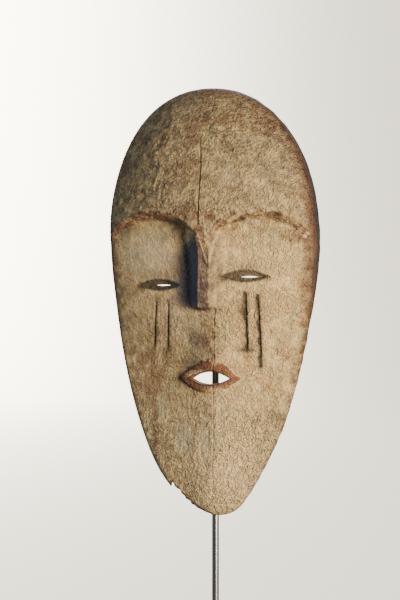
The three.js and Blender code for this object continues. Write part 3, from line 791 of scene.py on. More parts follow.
def rubbed(x, up, from_edge, past_clay, at_side, on_nose):
    """Where the clay is rubbed off and the wood shows: edges, brows, nose, keel and the break."""
    edge = mix(0.4, 0.66, ramp(up, 170.0, 230.0)) * bell(from_edge, 0.0, 2.2)
    edge = edge + 0.22 * bell(from_edge, 0.0, 8.0) * ramp(up, 60.0, 160.0)
    upper_edge = 0.5 * bell(from_edge, 0.0, 6.5) * ramp(up, 150.0, 210.0)
    hem = 0.72 * smooth(past_clay / 1.1 + 1.0) * at_side
    brows = brow_band(x, up) * mix(0.5, 0.58, ramp(x, -2.0, -22.0))
    bridge = 0.58 * on_nose * ramp(up, 262.0, 242.0)
    at_break = 0.85 * ramp(line_distance(x, up, CHIN_BREAK[1:-1])[0], 3.2, 0.8)
    keel = 0.42 * bell(x, keel_x(up), 4.0) * ramp(up, 14.0, 24.0) * ramp(up, 178.0, 170.0)
    return most(edge, upper_edge, hem, brows, bridge, at_break, keel, spots(x, up, RUBBED))


def sooted_and_shaded(x, up, from_edge, behind, at_side):
    """Where soot and dark dirt sit, in the eyes, cuts, splits and mouth, along the rim and in smudges, and
    painted shade round the lips' left, on the lids above the eyes and below the nose.
    """
    soot_and_shade = most(spots(x, up, SOOT_AND_PAINTED_SHADE), 0.62 * ramp(behind, 0.8, 3.8) * at_side)
    soot_and_shade = most(soot_and_shade, 0.4 * bell(from_edge, 0.0, 3.6) * ramp(up, 100.0, 180.0))
    for eye, hollow in zip(EYES, EYE_HOLLOWS):
        lens = lens_inside(x, up, eye, hollow)
        sunk = np.minimum(0.92 + 0.06 * ramp(lens, 2.2, 0.6), 0.96) * ramp(lens, -1.1, 0.5)
        soot_and_shade = most(soot_and_shade, sunk, spots(x - eye[0], up - eye[1], EYE_SOOT_AND_LID_SHADE))
    for mark in CUT_MARKS:
        gap = line_distance(x, up, mark)[0] + swells(x, up, CUT_SOOT_WAVER)
        strong, wide = LEFT_CUT_SOOT if mark[0][0] < 0.0 else RIGHT_CUT_SOOT
        soot_and_shade = most(soot_and_shade, strong * ramp(gap, wide, wide - 1.4), 0.3 * bell(gap, 0.0, 4.0))
    for split, fade in SPLIT_SOOT:
        gap, share = line_distance(x, up, split)
        strong = smooth((1.0 - share) * fade) * (1.0 - 0.55 * smooth(share * 2.2))
        soot_and_shade = most(soot_and_shade, strong * ramp(gap, 0.75, 0.15))
    hole = lens_inside(x, up, MOUTH, MOUTH_HOLE)
    return most(soot_and_shade, 0.85 * ramp(hole, -1.5, -0.5) * (1.0 - ellipse(x, up, *LIT_MOUTH_CORNER)))


def painted_nose_shadow(x, up, on_nose):
    """Painted shadow of the nose mixed with soot: a soft dark patch beside the nose and down to the left
    above the mouth, with grime on the nose's front.
    """
    away = nose_x(up) - NOSE_HALF_WIDTH - x
    wide = mix(18.0, 33.0, ramp(up, 246.0, 220.0))
    in_nose_shadow = ramp(away, wide, wide - 21.0) * ramp(away, -1.0, 0.4)
    in_nose_shadow = in_nose_shadow * ramp(up, 172.0, 188.0) * ramp(up, 246.0, 230.0)
    in_nose_shadow = 0.97 * (1.0 - (1.0 - in_nose_shadow) ** 1.7)
    nose_shadow_above_mouth = 0.4 * ellipse(x, up, (-8.0, 150.0), (10.0, 20.0))
    return most(in_nose_shadow, 0.42 * on_nose * ramp(up, 236.0, 220.0), nose_shadow_above_mouth)


def reddened(x, up):
    """Red ochre on the lips, lost in places."""
    ochre = ramp(lens_inside(x, up, MOUTH, LIPS) + swells(x, up, LIPS_HEM), -0.4, 1.2)
    for centre, reach, strength in OCHRE_LOST:
        ochre = ochre * (1.0 - strength * ellipse(x, up, centre, reach))
    return ochre


def whitened(x, up):
    """Where the clay is palest: broad areas, a band beside the keel and streaks where it was scraped."""
    pale = sum(strength * ellipse(x, up, centre, reach) for centre, reach, strength in PALE_AREAS)
    band = bell(x, keel_x(up) + 3.2, 2.6) * ramp(up, 104.0, 96.0) * ramp(up, 12.0, 20.0)
    pale = most(pale, 0.95 * band)
    for streak, wide in PALE_STREAKS:
        pale = most(pale, ramp(line_distance(x, up, streak)[0], wide, wide - 0.7))
    return pale


def grimed_and_shaded(x, up, from_edge, above):
    """Where handling and dust have greyed the mask, by the edge and round the nose; the forehead, crown, left
    side, left of the lower face and upper part are darker, partly dust and partly painted shade where they
    turn from the light.
    """
    # The forehead is greyed by dust, and its left and the crown are darker still as painted shade, where they
    # turn from the light.
    forehead_dust_and_shade = above * (0.72 + 0.25 * ramp(x, 6.0, -10.0) + 0.5 * ramp(up, 296.0, 356.0))
    edge = 0.5 * bell(from_edge, 0.0, 14.0) + 0.5 * bell(from_edge, 0.0, 3.0)
    by_nose = ramp(np.abs(x - nose_x(up)), 16.0, 11.0) * ramp(up, 174.0, 178.0) * ramp(up, 250.0, 240.0)
    # Painted shade mixed with dust: the left of the lower face, the left side and the upper part are darker
    # where they turn from the light.
    shaded_left_of_keel = ramp(x - keel_x(up), 1.0, -3.0) * ramp(up, 180.0, 170.0)
    left, upper = ramp(x, -18.0, -38.0), ramp(up, 215.0, 255.0)
    grime_and_shade = most(forehead_dust_and_shade, edge, 0.35 * upper, 0.75 * by_nose, 0.52 * shaded_left_of_keel, 0.3 * left)
    return np.clip(grime_and_shade, 0.0, 1.0)


def wear(x, up, depth):
    """What each point of the mask looks like, as shares by name."""
    from_edge = edge_distance(x, up)
    behind = carving(x, up, from_edge) - depth
    at_side = ramp(from_edge, 9.0, 6.0)
    clay_reach = edge_depth(up) * mix(0.66, 0.3, ramp(up, 150.0, 240.0)) + swells(x, up, CLAY_HEM)
    past_clay = behind - 0.5 - clay_reach * at_side
    bare = smooth(past_clay / CLAY_END)
    low = ramp(up, 120.0, 80.0)
    above = ramp(up - brow_up(x), 6.0, 14.0)
    on_nose = ramp(np.abs(x - nose_x(up)) - NOSE_HALF_WIDTH, 1.2, -0.4) * ramp(up, 176.0, 180.0)
    brown_edge = 0.8 * bell(from_edge, 0.0, 10.0) * ramp(up, 130.0, 190.0)
    crust = ramp(x, -2.0, -20.0) * above + 0.65 * above + 0.75 * low + 0.2
    return {
        "worn": rubbed(x, up, from_edge, past_clay, at_side, on_nose),
        "stain": most(0.1 + 0.05 * low, spots(x, up, BROWNED), brown_edge),
        "soot_and_shade": sooted_and_shaded(x, up, from_edge, behind, at_side),
        "nose_shadow_and_soot": painted_nose_shadow(x, up, on_nose),
        "ochre": reddened(x, up),
        "pale": whitened(x, up),
        "crust": np.clip(crust, 0.0, 1.0),
        "grime_and_shade": grimed_and_shaded(x, up, from_edge, above),
        "grey": spots(x, up, GREYED, 0.5),
        "bare": bare,
        "hollow": ramp(from_edge, 3.0, 8.0) * bare,
    }


points = np.empty(3 * len(broken.vertices))
broken.vertices.foreach_get("co", points)
points = points.reshape(-1, 3) / MM
for name, shares in wear(points[:, 0], points[:, 2] - CHIN_ABOVE_FLOOR, RIM_Y - points[:, 1]).items():
    broken.attributes.new(name, "FLOAT", "POINT").data.foreach_set("value", shares.astype(np.float32))

# The mask's finish: flaking kaolin over brown wood, with ochre on the lips, soot in the cuts, painted shade
# beside the nose, round the lips and on the mask's left, and bare wood behind. The clay's ridges are
# lightened, partly as pale clay and partly as painted highlight. The wear kept on the mask's points says
# where each of them shows, and noise frays its edges.
FIBRE_SIZES = (0.0011, 0.0011, 0.022)
STREAK_SIZES = (0.0042, 0.0042, 0.06)
WORM_SIZES = (0.0036, 0.0036, 0.0105)
WORM_LEAN = 0.55
CRACKS_PER_METRE = 300.0
PORES_PER_METRE = 560.0
FLAKES_PER_METRE = 120.0
RELIEF = 0.002


def add(tree, kind, inputs=None, **settings):
    """A shader node with its settings, each input given as a value or as the output that feeds it."""
    made = tree.nodes.new("ShaderNode" + kind)
    for name, value in settings.items():
        setattr(made, name, value)
    for name, value in (inputs or {}).items():
        if isinstance(value, bpy.types.NodeSocket):
            tree.links.new(value, made.inputs[name])
        else:
            made.inputs[name].default_value = value
    return made


def sums(tree, how, a, b=0.0, c=0.0):
    return add(tree, "Math", {0: a, 1: b, 2: c}, operation=how).outputs[0]


def times(tree, *values):
    """All of the values multiplied."""
    product = values[0]
    for value in values[1:]:
        product = sums(tree, "MULTIPLY", product, value)
    return product


def stirred(tree, value, noise, strength):
    """A value that noise raises and lowers."""
    return sums(tree, "MULTIPLY_ADD", sums(tree, "SUBTRACT", noise, 0.5), strength, value)


def span(tree, value, low, high, to_low=0.0, to_high=1.0):
    """The value's share of the way from low to high, eased at both ends."""
    given = {"Value": value, "From Min": low, "From Max": high, "To Min": to_low, "To Max": to_high}
    return add(tree, "MapRange", given, interpolation_type="SMOOTHSTEP").outputs["Result"]


def tint(tree, amount, under, over):
    """One colour laid over another by an amount."""
    return add(tree, "Mix", {0: amount, 6: under, 7: over}, data_type="RGBA").outputs[2]


def mottle(tree, place, size, detail=4.0, rough=0.6):
    """Cloudy noise whose blots are about a size in metres."""
    given = {"Vector": place, "Scale": 1.0 / size, "Detail": detail, "Roughness": rough}
    return add(tree, "TexNoise", given).outputs["Fac"]


def stretched(tree, place, sizes):
    return add(tree, "Mapping", {"Vector": place, "Scale": [1.0 / size for size in sizes]}).outputs["Vector"]


def wander(tree, place, swirls, reach):
    """A place pushed about by noise with so many swirls to the metre, up to half a reach."""
    drift = add(tree, "TexNoise", {"Vector": place, "Scale": swirls, "Detail": 3.0}).outputs["Color"]
    drift = add(tree, "VectorMath", {0: drift, 1: (0.5, 0.5, 0.5)}, operation="SUBTRACT").outputs[0]
    return add(tree, "VectorMath", {0: drift, 1: (reach,) * 3, 2: place}, operation="MULTIPLY_ADD").outputs[0]


def veins(tree, noise, wide):
    """Thin winding lines where noise crosses its middle."""
    off = sums(tree, "ABSOLUTE", sums(tree, "SUBTRACT", noise, 0.5))
    return span(tree, off, 0.0, wide, 1.0, 0.0)


def cells(tree, place, per_metre, feature="F1"):
    return add(tree, "TexVoronoi", {"Vector": place, "Scale": per_metre}, feature=feature).outputs


def read(tree, name):
    return add(tree, "Attribute", attribute_name=name).outputs["Fac"]


def rgb(red, green, blue):
    """A colour given in screen values of 0 to 255."""
    return tuple(((c / 255.0 + 0.055) / 1.055) ** 2.4 for c in (red, green, blue)) + (1.0,)


GOLDEN_CLAY = rgb(230, 190, 130)
TAN_CLAY = rgb(200, 154, 98)
RUSTY_CLAY = rgb(172, 116, 70)
OLIVE_CLAY = rgb(164, 142, 98)
RUSSET_CLAY = rgb(156, 106, 62)
LIGHT_CLAY = rgb(244, 214, 162)
DULL_CLAY = rgb(180, 156, 108)
GREY_CLAY = rgb(172, 160, 136)
# Lighter clay for the ridges, here and in the raised clay below, partly pale dried clay and partly painted
# highlight.
WORM_PALE_AND_HIGHLIGHT = rgb(242, 214, 160)
GRIT_CLAY = rgb(232, 204, 152)
# The grimy clay and wood also stand for painted shade on the mask's left and crown.
GRIMY_AND_SHADED_CLAY = rgb(111, 89, 66)
BROWN_CLAY = rgb(128, 90, 63)
RAISED_PALE_AND_HIGHLIGHT = rgb(214, 190, 146)
SCRAPED_CLAY = rgb(246, 212, 158)
CRACK_BROWN = rgb(100, 74, 52)
PORE_BROWN = rgb(70, 48, 34)
LIGHT_WOOD = rgb(164, 108, 74)
DARK_WOOD = rgb(100, 66, 48)
SHADED_WOOD = rgb(86, 58, 46)
GRIMY_AND_SHADED_WOOD = rgb(70, 54, 45)
DEEP_OCHRE = rgb(82, 34, 23)
WORN_OCHRE = rgb(134, 68, 46)
# Soot black also serves as painted shade round the lips and above the eyes.
SOOT_AND_SHADE_BLACK = rgb(29, 28, 33)
# The painted shadow beside the nose, mixed with soot.
NOSE_SHADOW_GREY = rgb(72, 69, 78)
OLD_RIM_LIGHT = rgb(80, 70, 64)
OLD_RIM_DARK = rgb(50, 43, 41)
HOLLOW_LIGHT = rgb(172, 128, 88)
HOLLOW_DARK = rgb(112, 78, 52)
BLOT_BROWN = rgb(52, 38, 30)

clay_over_wood = bpy.data.materials.new("kaolin_over_wood")
clay_over_wood.use_nodes = True
tree = clay_over_wood.node_tree
finish = tree.nodes["Principled BSDF"]

place = add(tree, "TexCoord").outputs["Object"]
wandering = wander(tree, place, 130.0, 0.0045)
sway = wander(tree, wandering, 75.0, 0.018)
broad = mottle(tree, place, 0.024)
patch = mottle(tree, wandering, 0.013, 4.0, 0.6)
clouds = mottle(tree, wandering, 0.009, 3.0, 0.55)
blots = mottle(tree, wandering, 0.0065, 5.0, 0.65)
lumps = mottle(tree, wandering, 0.0028, 2.0, 0.6)
grit = mottle(tree, place, 0.0013, 3.0, 0.7)
fibre = mottle(tree, stretched(tree, wandering, FIBRE_SIZES), 1.0, 4.0, 0.6)
streak = mottle(tree, stretched(tree, wandering, STREAK_SIZES), 1.0, 3.0, 0.55)
flake = add(tree, "SeparateColor", {"Color": cells(tree, sway, FLAKES_PER_METRE)["Color"]}).outputs[0]
to_edge = cells(tree, sway, FLAKES_PER_METRE, "DISTANCE_TO_EDGE")["Distance"]
lifted = span(tree, to_edge, 0.02, 0.14, 1.0, 0.0)
to_crack = cells(tree, wandering, CRACKS_PER_METRE, "DISTANCE_TO_EDGE")["Distance"]
cracks = span(tree, to_crack, 0.0, 0.1, 1.0, 0.0)
pores = span(tree, cells(tree, place, PORES_PER_METRE)["Distance"], 0.1, 0.24, 1.0, 0.0)

crust, grime_and_shade, bare = read(tree, "crust"), read(tree, "grime_and_shade"), read(tree, "bare")
worm = veins(tree, mottle(tree, wandering, 0.0038, 1.5, 0.5), 0.08)
worm = times(tree, worm, span(tree, broad, 0.35, 0.6, 0.35, 1.0))
turned = {"Vector": wandering, "Rotation": (0.0, WORM_LEAN, 0.0), "Scale": WORM_SIZES}
turned = add(tree, "Mapping", turned, vector_type="TEXTURE").outputs["Vector"]
leaning = times(tree, veins(tree, mottle(tree, turned, 1.0, 1.5, 0.5), 0.07), span(tree, crust, 0.55, 1.0))
# Ridges and lifted flake edges, lightened below as partly pale clay and partly painted highlight.
ridges_pale_and_lit = sums(tree, "MAXIMUM", sums(tree, "MULTIPLY_ADD", leaning, 0.7, worm), times(tree, lifted, 0.6))
crackle = times(tree, sums(tree, "MULTIPLY_ADD", crust, 0.38, 0.1), cracks)
crackle = times(tree, crackle, span(tree, patch, 0.4, 0.62, 0.3, 1.2))
dots = times(tree, pores, span(tree, blots, 0.42, 0.55))
greyed = span(tree, stirred(tree, read(tree, "grey"), blots, 0.8), 0.3, 0.6)
stained = span(tree, stirred(tree, stirred(tree, read(tree, "stain"), flake, 0.35), blots, 1.1), 0.28, 0.6)
# Dust, and painted shade on the mask's left and crown, broken up by noise.
dirty_and_shaded = times(
    tree,
    grime_and_shade,
    span(tree, blots, 0.25, 0.6, 0.5, 1.0),
    span(tree, patch, 0.3, 0.65, 0.65, 1.2),
    span(tree, flake, 0.0, 0.8, 1.0, 0.72),
)

clay = GOLDEN_CLAY
for share, over in (
    (span(tree, broad, 0.4, 0.62), TAN_CLAY),
    (span(tree, clouds, 0.52, 0.64, 0.0, 0.55), RUSTY_CLAY),
    (span(tree, streak, 0.48, 0.7), OLIVE_CLAY),
    (span(tree, blots, 0.5, 0.68, 0.0, 0.85), RUSSET_CLAY),
    (span(tree, lumps, 0.34, 0.5, 0.35, 0.0), LIGHT_CLAY),
    (span(tree, flake, 0.4, 1.0, 0.0, 0.4), DULL_CLAY),
    (times(tree, greyed, 0.7), GREY_CLAY),
    # This row and the raised row below lighten the clay's ridges, partly pale dried clay and partly painted
    # highlight.
    (times(tree, worm, 0.38), WORM_PALE_AND_HIGHLIGHT),
    (span(tree, grit, 0.35, 0.75, 0.0, 0.25), GRIT_CLAY),
    (dirty_and_shaded, GRIMY_AND_SHADED_CLAY),
    (times(tree, stained, 0.66), BROWN_CLAY),
    (times(tree, ridges_pale_and_lit, crust, 0.36), RAISED_PALE_AND_HIGHLIGHT),
    (crackle, CRACK_BROWN),
    (times(tree, dots, 0.7), PORE_BROWN),
):
    clay = tint(tree, share, clay, over)

wood = tint(tree, span(tree, fibre, 0.35, 0.68), LIGHT_WOOD, DARK_WOOD)
wood = tint(tree, span(tree, broad, 0.42, 0.62, 0.0, 0.6), wood, SHADED_WOOD)
wood = tint(tree, times(tree, grime_and_shade, 0.3), wood, GRIMY_AND_SHADED_WOOD)
ragged = read(tree, "worn")
for noise, strength in ((blots, 1.2), (lumps, 0.6), (fibre, 0.35), (grit, 0.3)):
    ragged = stirred(tree, ragged, noise, strength)
rubbed_off = span(tree, ragged, 0.22, 0.78)
ochre = tint(tree, span(tree, lumps, 0.35, 0.65), DEEP_OCHRE, WORN_OCHRE)
ochre_left = span(tree, stirred(tree, read(tree, "ochre"), lumps, 1.3), 0.3, 0.85, 0.0, 0.85)
soot_and_shade = times(tree, read(tree, "soot_and_shade"), span(tree, lumps, 0.3, 0.75, 1.0, 0.88))
old_rim = tint(tree, span(tree, fibre, 0.3, 0.7), OLD_RIM_LIGHT, OLD_RIM_DARK)
hollow_wood = tint(tree, span(tree, fibre, 0.3, 0.7), HOLLOW_LIGHT, HOLLOW_DARK)
behind = tint(tree, read(tree, "hollow"), old_rim, hollow_wood)
behind = tint(tree, span(tree, blots, 0.45, 0.7, 0.0, 0.5), behind, BLOT_BROWN)
colour = clay
for share, over in (
    (rubbed_off, wood),
    (ochre_left, ochre),
    # Soot, with painted shade round the lips, below the nose and above the eyes.
    (soot_and_shade, SOOT_AND_SHADE_BLACK),
    # Painted shadow of the nose, mixed with soot.
    (read(tree, "nose_shadow_and_soot"), NOSE_SHADOW_GREY),
    (times(tree, read(tree, "pale"), 0.62), SCRAPED_CLAY),
    (bare, behind),
):
    colour = tint(tree, share, colour, over)
tree.links.new(colour, finish.inputs["Base Color"])
woody = sums(tree, "MAXIMUM", rubbed_off, bare)
tree.links.new(span(tree, woody, 0.0, 1.0, 0.93, 0.68), finish.inputs["Roughness"])
finish.inputs["Specular IOR Level"].default_value = 0.25

coarse = sums(tree, "MULTIPLY_ADD", crust, 0.5, 0.5)
coarse = times(tree, coarse, sums(tree, "MULTIPLY_ADD", greyed, -0.6, 1.0))
height = times(tree, crackle, -0.35)
for relief, weight in (
    (sums(tree, "MAXIMUM", worm, leaning), times(tree, coarse, 0.7)),
    (flake, times(tree, coarse, 0.35)),
    (lifted, times(tree, coarse, 0.3)),
    (lumps, times(tree, coarse, 0.6)),
    (grit, 0.14),
    (blots, 1.0),
    (times(tree, fibre, woody), 0.5),
    (dots, -0.3),
):
    height = sums(tree, "MULTIPLY_ADD", relief, weight, height)
bump = add(tree, "Bump", {"Strength": 1.0, "Distance": RELIEF, "Height": height})
tree.links.new(bump.outputs["Normal"], finish.inputs["Normal"])
broken.materials.clear()
broken.materials.append(clay_over_wood)

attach(mask, "root")
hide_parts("mask")

# The rod of the display stand: one round bar of polished steel, straight up behind the mask and bent forward
# under the crown, where it is brazed to a thinner bar that follows the outline and carries the mask.
ROD_RADIUS = 3.0
ROD_FOOT = 4.4
ROD_SIDES = 48
STRAIGHT_POINTS = 40
BEND_RADIUS = 12.0
BEND_POINTS = 16
CRADLE_BAR_RADIUS = 2.5
CRADLE_BAR_REACH = 38.0
CRADLE_BAR_INSET = 13.3
CRADLE_BAR_DEPTH = 14.0
CRADLE_BAR_SIDES = 32
CRADLE_STEPS = 48
CRADLE_DROP = 60.0
CRADLE_FINENESS = 0.05
BRAZE_REACH = 3.0
BRAZE_FLARE = 1.1
BRAZE_OVERLAP = 0.05
BRAZE_PLACES = (1.0, 0.5, 0.0, -0.5)
SEAM_MERGE = 0.01
ROD_SHARP_ANGLE = math.radians(40.0)
QUARTER_TURN = math.pi / 2.0

heights = np.arange(MASK_HEIGHT - CRADLE_BAR_INSET, MASK_HEIGHT - CRADLE_DROP, -CRADLE_FINENESS)
cradle_path = []
for x in np.linspace(-CRADLE_BAR_REACH, CRADLE_BAR_REACH, CRADLE_STEPS + 1):
    clear = edge_distance(np.full(len(heights), x), heights) >= CRADLE_BAR_INSET
    up = heights[np.argmax(clear)]
    cradle_path.append((x, RIM_Y - CRADLE_BAR_DEPTH, CHIN_ABOVE_FLOOR + up))
join = cradle_path[CRADLE_STEPS // 2]
bend_from = join[2] - BEND_RADIUS
rod_path = [(0.0, 0.0, z) for z in np.linspace(ROD_FOOT, bend_from, STRAIGHT_POINTS)[:-1]]
for turn in np.linspace(0.0, QUARTER_TURN, BEND_POINTS):
    rod_path.append((0.0, -BEND_RADIUS * (1.0 - math.cos(turn)), bend_from + BEND_RADIUS * math.sin(turn)))
rod_path.append((0.0, join[1], join[2]))

bar_tree = bpy.data.node_groups.new("round_bar_on_a_path", "GeometryNodeTree")
bar_tree.interface.new_socket("Path", in_out="INPUT", socket_type="NodeSocketGeometry")
bar_radius = bar_tree.interface.new_socket("Bar Radius", in_out="INPUT", socket_type="NodeSocketFloat")
bar_sides = bar_tree.interface.new_socket("Sides", in_out="INPUT", socket_type="NodeSocketInt")
bar_metal = bar_tree.interface.new_socket("Metal", in_out="INPUT", socket_type="NodeSocketMaterial")
bar_tree.interface.new_socket("Bar", in_out="OUTPUT", socket_type="NodeSocketGeometry")
given = bar_tree.nodes.new("NodeGroupInput").outputs
to_curve = bar_tree.nodes.new("GeometryNodeMeshToCurve")
ring = bar_tree.nodes.new("GeometryNodeCurvePrimitiveCircle")
swept = bar_tree.nodes.new("GeometryNodeCurveToMesh")
swept.inputs["Fill Caps"].default_value = True
flesh = bar_tree.nodes.new("GeometryNodeRealizeInstances")
painted = bar_tree.nodes.new("GeometryNodeSetMaterial")
for source, target in (
    (given["Path"], to_curve.inputs["Mesh"]),
    (given["Bar Radius"], ring.inputs["Radius"]),
    (given["Sides"], ring.inputs["Resolution"]),
    (to_curve.outputs["Curve"], swept.inputs["Curve"]),
    (ring.outputs["Curve"], swept.inputs["Profile Curve"]),
    (swept.outputs["Mesh"], flesh.inputs["Geometry"]),
    (flesh.outputs["Geometry"], painted.inputs["Geometry"]),
    (given["Metal"], painted.inputs["Material"]),
    (painted.outputs["Geometry"], bar_tree.nodes.new("NodeGroupOutput").inputs["Bar"]),
):
    bar_tree.links.new(source, target)


def group(name, inputs, outputs):
    """An empty shader group with named float or vector sockets."""
    kinds = {"value": "NodeSocketFloat", "vector": "NodeSocketVector"}
    tree = bpy.data.node_groups.new(name, "ShaderNodeTree")
    for label, kind in inputs:
        tree.interface.new_socket(label, in_out="INPUT", socket_type=kinds[kind])
    for label, kind in outputs:
        tree.interface.new_socket(label, in_out="OUTPUT", socket_type=kinds[kind])
    return tree, tree.nodes.new("NodeGroupInput").outputs, tree.nodes.new("NodeGroupOutput").inputs


metal_wear, given, gives = group(
    "metal_wear",
    (("Place", "vector"), ("Line Sizes", "vector"), ("Smudge Size", "value")),
    (("Lines", "value"), ("Smudges", "value")),
)
shrunk = add(metal_wear, "VectorMath", {0: given["Place"], 1: given["Line Sizes"]}, operation="DIVIDE")
metal_wear.links.new(mottle(metal_wear, shrunk.outputs[0], 1.0, 3.0, 0.7), gives["Lines"])
blurred = add(metal_wear, "VectorMath", {0: given["Place"]}, operation="SCALE")
metal_wear.links.new(sums(metal_wear, "DIVIDE", 1.0, given["Smudge Size"]), blurred.inputs["Scale"])
metal_wear.links.new(mottle(metal_wear, blurred.outputs[0], 1.0, 3.0, 0.6), gives["Smudges"])


def steel(name, dark, bright, line_sizes, smudge_size, gloss, dulling):
    """Bare steel whose fine lines run along the longest of the line sizes, with smudges of dullness."""
    made = bpy.data.materials.new(name)
    made.use_nodes = True
    tree = made.node_tree
    finish = tree.nodes["Principled BSDF"]
    wear = tree.nodes.new("ShaderNodeGroup")
    wear.node_tree = metal_wear
    tree.links.new(add(tree, "TexCoord").outputs["Object"], wear.inputs["Place"])
    wear.inputs["Line Sizes"].default_value = line_sizes
    wear.inputs["Smudge Size"].default_value = smudge_size
    lines, smudges = wear.outputs["Lines"], wear.outputs["Smudges"]
    tree.links.new(tint(tree, span(tree, lines, 0.3, 0.7), dark, bright), finish.inputs["Base Color"])
    rough = sums(tree, "MULTIPLY_ADD", span(tree, smudges, 0.35, 0.7), dulling, gloss)
    rough = sums(tree, "MULTIPLY_ADD", lines, 0.4 * dulling, rough)
    tree.links.new(rough, finish.inputs["Roughness"])
    finish.inputs["Metallic"].default_value = 1.0
    bump = add(tree, "Bump", {"Strength": 0.02, "Distance": 0.00001, "Height": lines})
    tree.links.new(bump.outputs["Normal"], finish.inputs["Normal"])
    return made


rod_steel = steel(
    "polished_rod_steel",
    dark=rgb(120, 117, 109),
    bright=rgb(142, 139, 130),
    line_sizes=(0.0014, 0.0014, 0.1),
    smudge_size=0.018,
    gloss=0.26,
    dulling=0.01,
)


def bar(name, path, radius, sides):
    """A round bar along a path, made by the bar tree and kept as a plain mesh."""
    line = bpy.data.meshes.new(name)
    line.from_pydata([[v * MM for v in p] for p in path], [(i, i + 1) for i in range(len(path) - 1)], [])
    made = bpy.data.objects.new(name, line)
    bpy.context.collection.objects.link(made)
    nodes = made.modifiers.new("bar", "NODES")
    nodes.node_group = bar_tree
    nodes[bar_radius.identifier] = radius * MM
    nodes[bar_sides.identifier] = sides
    nodes[bar_metal.identifier] = rod_steel
    whole = bpy.data.meshes.new_from_object(made.evaluated_get(bpy.context.evaluated_depsgraph_get()))
    made.modifiers.clear()
    made.data = whole
    return made


rod = bar("display_rod", rod_path, ROD_RADIUS, ROD_SIDES)
bar_back = join[1] + CRADLE_BAR_RADIUS
braze_path = [(0.0, bar_back + BRAZE_REACH * t, join[2]) for t in BRAZE_PLACES]
braze = bar("braze", braze_path, 1.0, ROD_SIDES)
rings = np.array([v.co[:] for v in braze.data.vertices])
into = np.clip(((bar_back + BRAZE_REACH) * MM - rings[:, 1]) / (BRAZE_REACH * MM), 0.0, 1.0)
swell = ROD_RADIUS - BRAZE_OVERLAP + BRAZE_FLARE * into**2
rings[:, 0] *= swell
rings[:, 2] = join[2] * MM + (rings[:, 2] - join[2] * MM) * swell
braze.data.vertices.foreach_set("co", rings.ravel())
cradle = bar("cradle_bar", cradle_path, CRADLE_BAR_RADIUS, CRADLE_BAR_SIDES)
for other in (cradle, braze):
    union = rod.modifiers.new("brazed", "BOOLEAN")
    union.operation = "UNION"
    union.solver = "MANIFOLD"
    union.object = other
brazed = bpy.data.meshes.new_from_object(rod.evaluated_get(bpy.context.evaluated_depsgraph_get()))
rod.modifiers.clear()
seam = bmesh.new()
seam.from_mesh(brazed)
bmesh.ops.remove_doubles(seam, verts=seam.verts, dist=SEAM_MERGE * MM)
bmesh.ops.dissolve_degenerate(seam, edges=seam.edges, dist=SEAM_MERGE * MM)
bmesh.ops.triangulate(seam, faces=[face for face in seam.faces if len(face.verts) > 4])
seam.to_mesh(brazed)
seam.free()
rod.data = brazed
brazed.materials.clear()
brazed.materials.append(rod_steel)
brazed.shade_smooth()
brazed.set_sharp_from_angle(angle=ROD_SHARP_ANGLE)
for other in (cradle, braze):
    bpy.data.objects.remove(other)
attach(rod, "root")
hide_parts("stand_rod")

# The foot of the stand: a square plate of satin steel with rounded corners and softened edges, lying flat.
# The rod stands in a blind hole bored in its middle, with a hair's breadth of room round it.
FOOT_SIZE = 130.0
FOOT_THICKNESS = 12.0
FOOT_CORNER = 3.0
FOOT_EDGE = 1.0
SOCKET_DEPTH = 8.0
SOCKET_ROOM = 0.4
CORNER_STEPS = 10
EDGE_STEPS = 5
FOOT_SHARP_ANGLE = math.radians(30.0)


def foot_ring(inset, z):
    """The foot's outline at a height, drawn in by an inset."""
    points = []
    middle = FOOT_SIZE / 2.0 - FOOT_CORNER
    for j, (sx, sy) in enumerate(((1, 1), (-1, 1), (-1, -1), (1, -1))):
        for angle in np.linspace(0.0, QUARTER_TURN, CORNER_STEPS + 1) + j * QUARTER_TURN:
            r = FOOT_CORNER - inset
            points.append((sx * middle + r * math.cos(angle), sy * middle + r * math.sin(angle), z))
    return points


turns = np.linspace(0.0, QUARTER_TURN, EDGE_STEPS + 1)
softened = [(FOOT_EDGE * (1.0 - math.sin(t)), FOOT_EDGE * (1.0 - math.cos(t))) for t in turns]
rings = [foot_ring(inset, z) for inset, z in softened]
rings += [foot_ring(inset, FOOT_THICKNESS - z) for inset, z in reversed(softened)]
around = len(rings[0])
socket_radius = ROD_RADIUS + SOCKET_ROOM
facing = [math.atan2(y, x) for x, y, z in rings[-1]]
socket = [(socket_radius * math.cos(a), socket_radius * math.sin(a)) for a in facing]
rings += [[(x, y, z) for x, y in socket] for z in (FOOT_THICKNESS, FOOT_THICKNESS - SOCKET_DEPTH)]
foot_points = [tuple(v * MM for v in p) for one in rings for p in one]
foot_faces = []
for i in range(len(rings) - 1):
    for j in range(around):
        k = (j + 1) % around
        foot_faces.append((i * around + j, i * around + k, (i + 1) * around + k, (i + 1) * around + j))
foot_faces.append(tuple(range(around - 1, -1, -1)))
foot_faces.append(tuple((len(rings) - 1) * around + j for j in range(around)))
plate = bpy.data.meshes.new("display_foot")
plate.from_pydata(foot_points, [], foot_faces)
plate.shade_smooth()
plate.set_sharp_from_angle(angle=FOOT_SHARP_ANGLE)
foot_steel = steel(
    "satin_foot_steel",
    dark=rgb(128, 127, 124),
    bright=rgb(152, 151, 147),
    line_sizes=(0.03, 0.0007, 0.0007),
    smudge_size=0.03,
    gloss=0.3,
    dulling=0.1,
)
plate.materials.append(foot_steel)
foot = bpy.data.objects.new("display_foot", plate)
bpy.context.collection.objects.link(foot)
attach(foot, "root")
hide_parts("stand_foot")

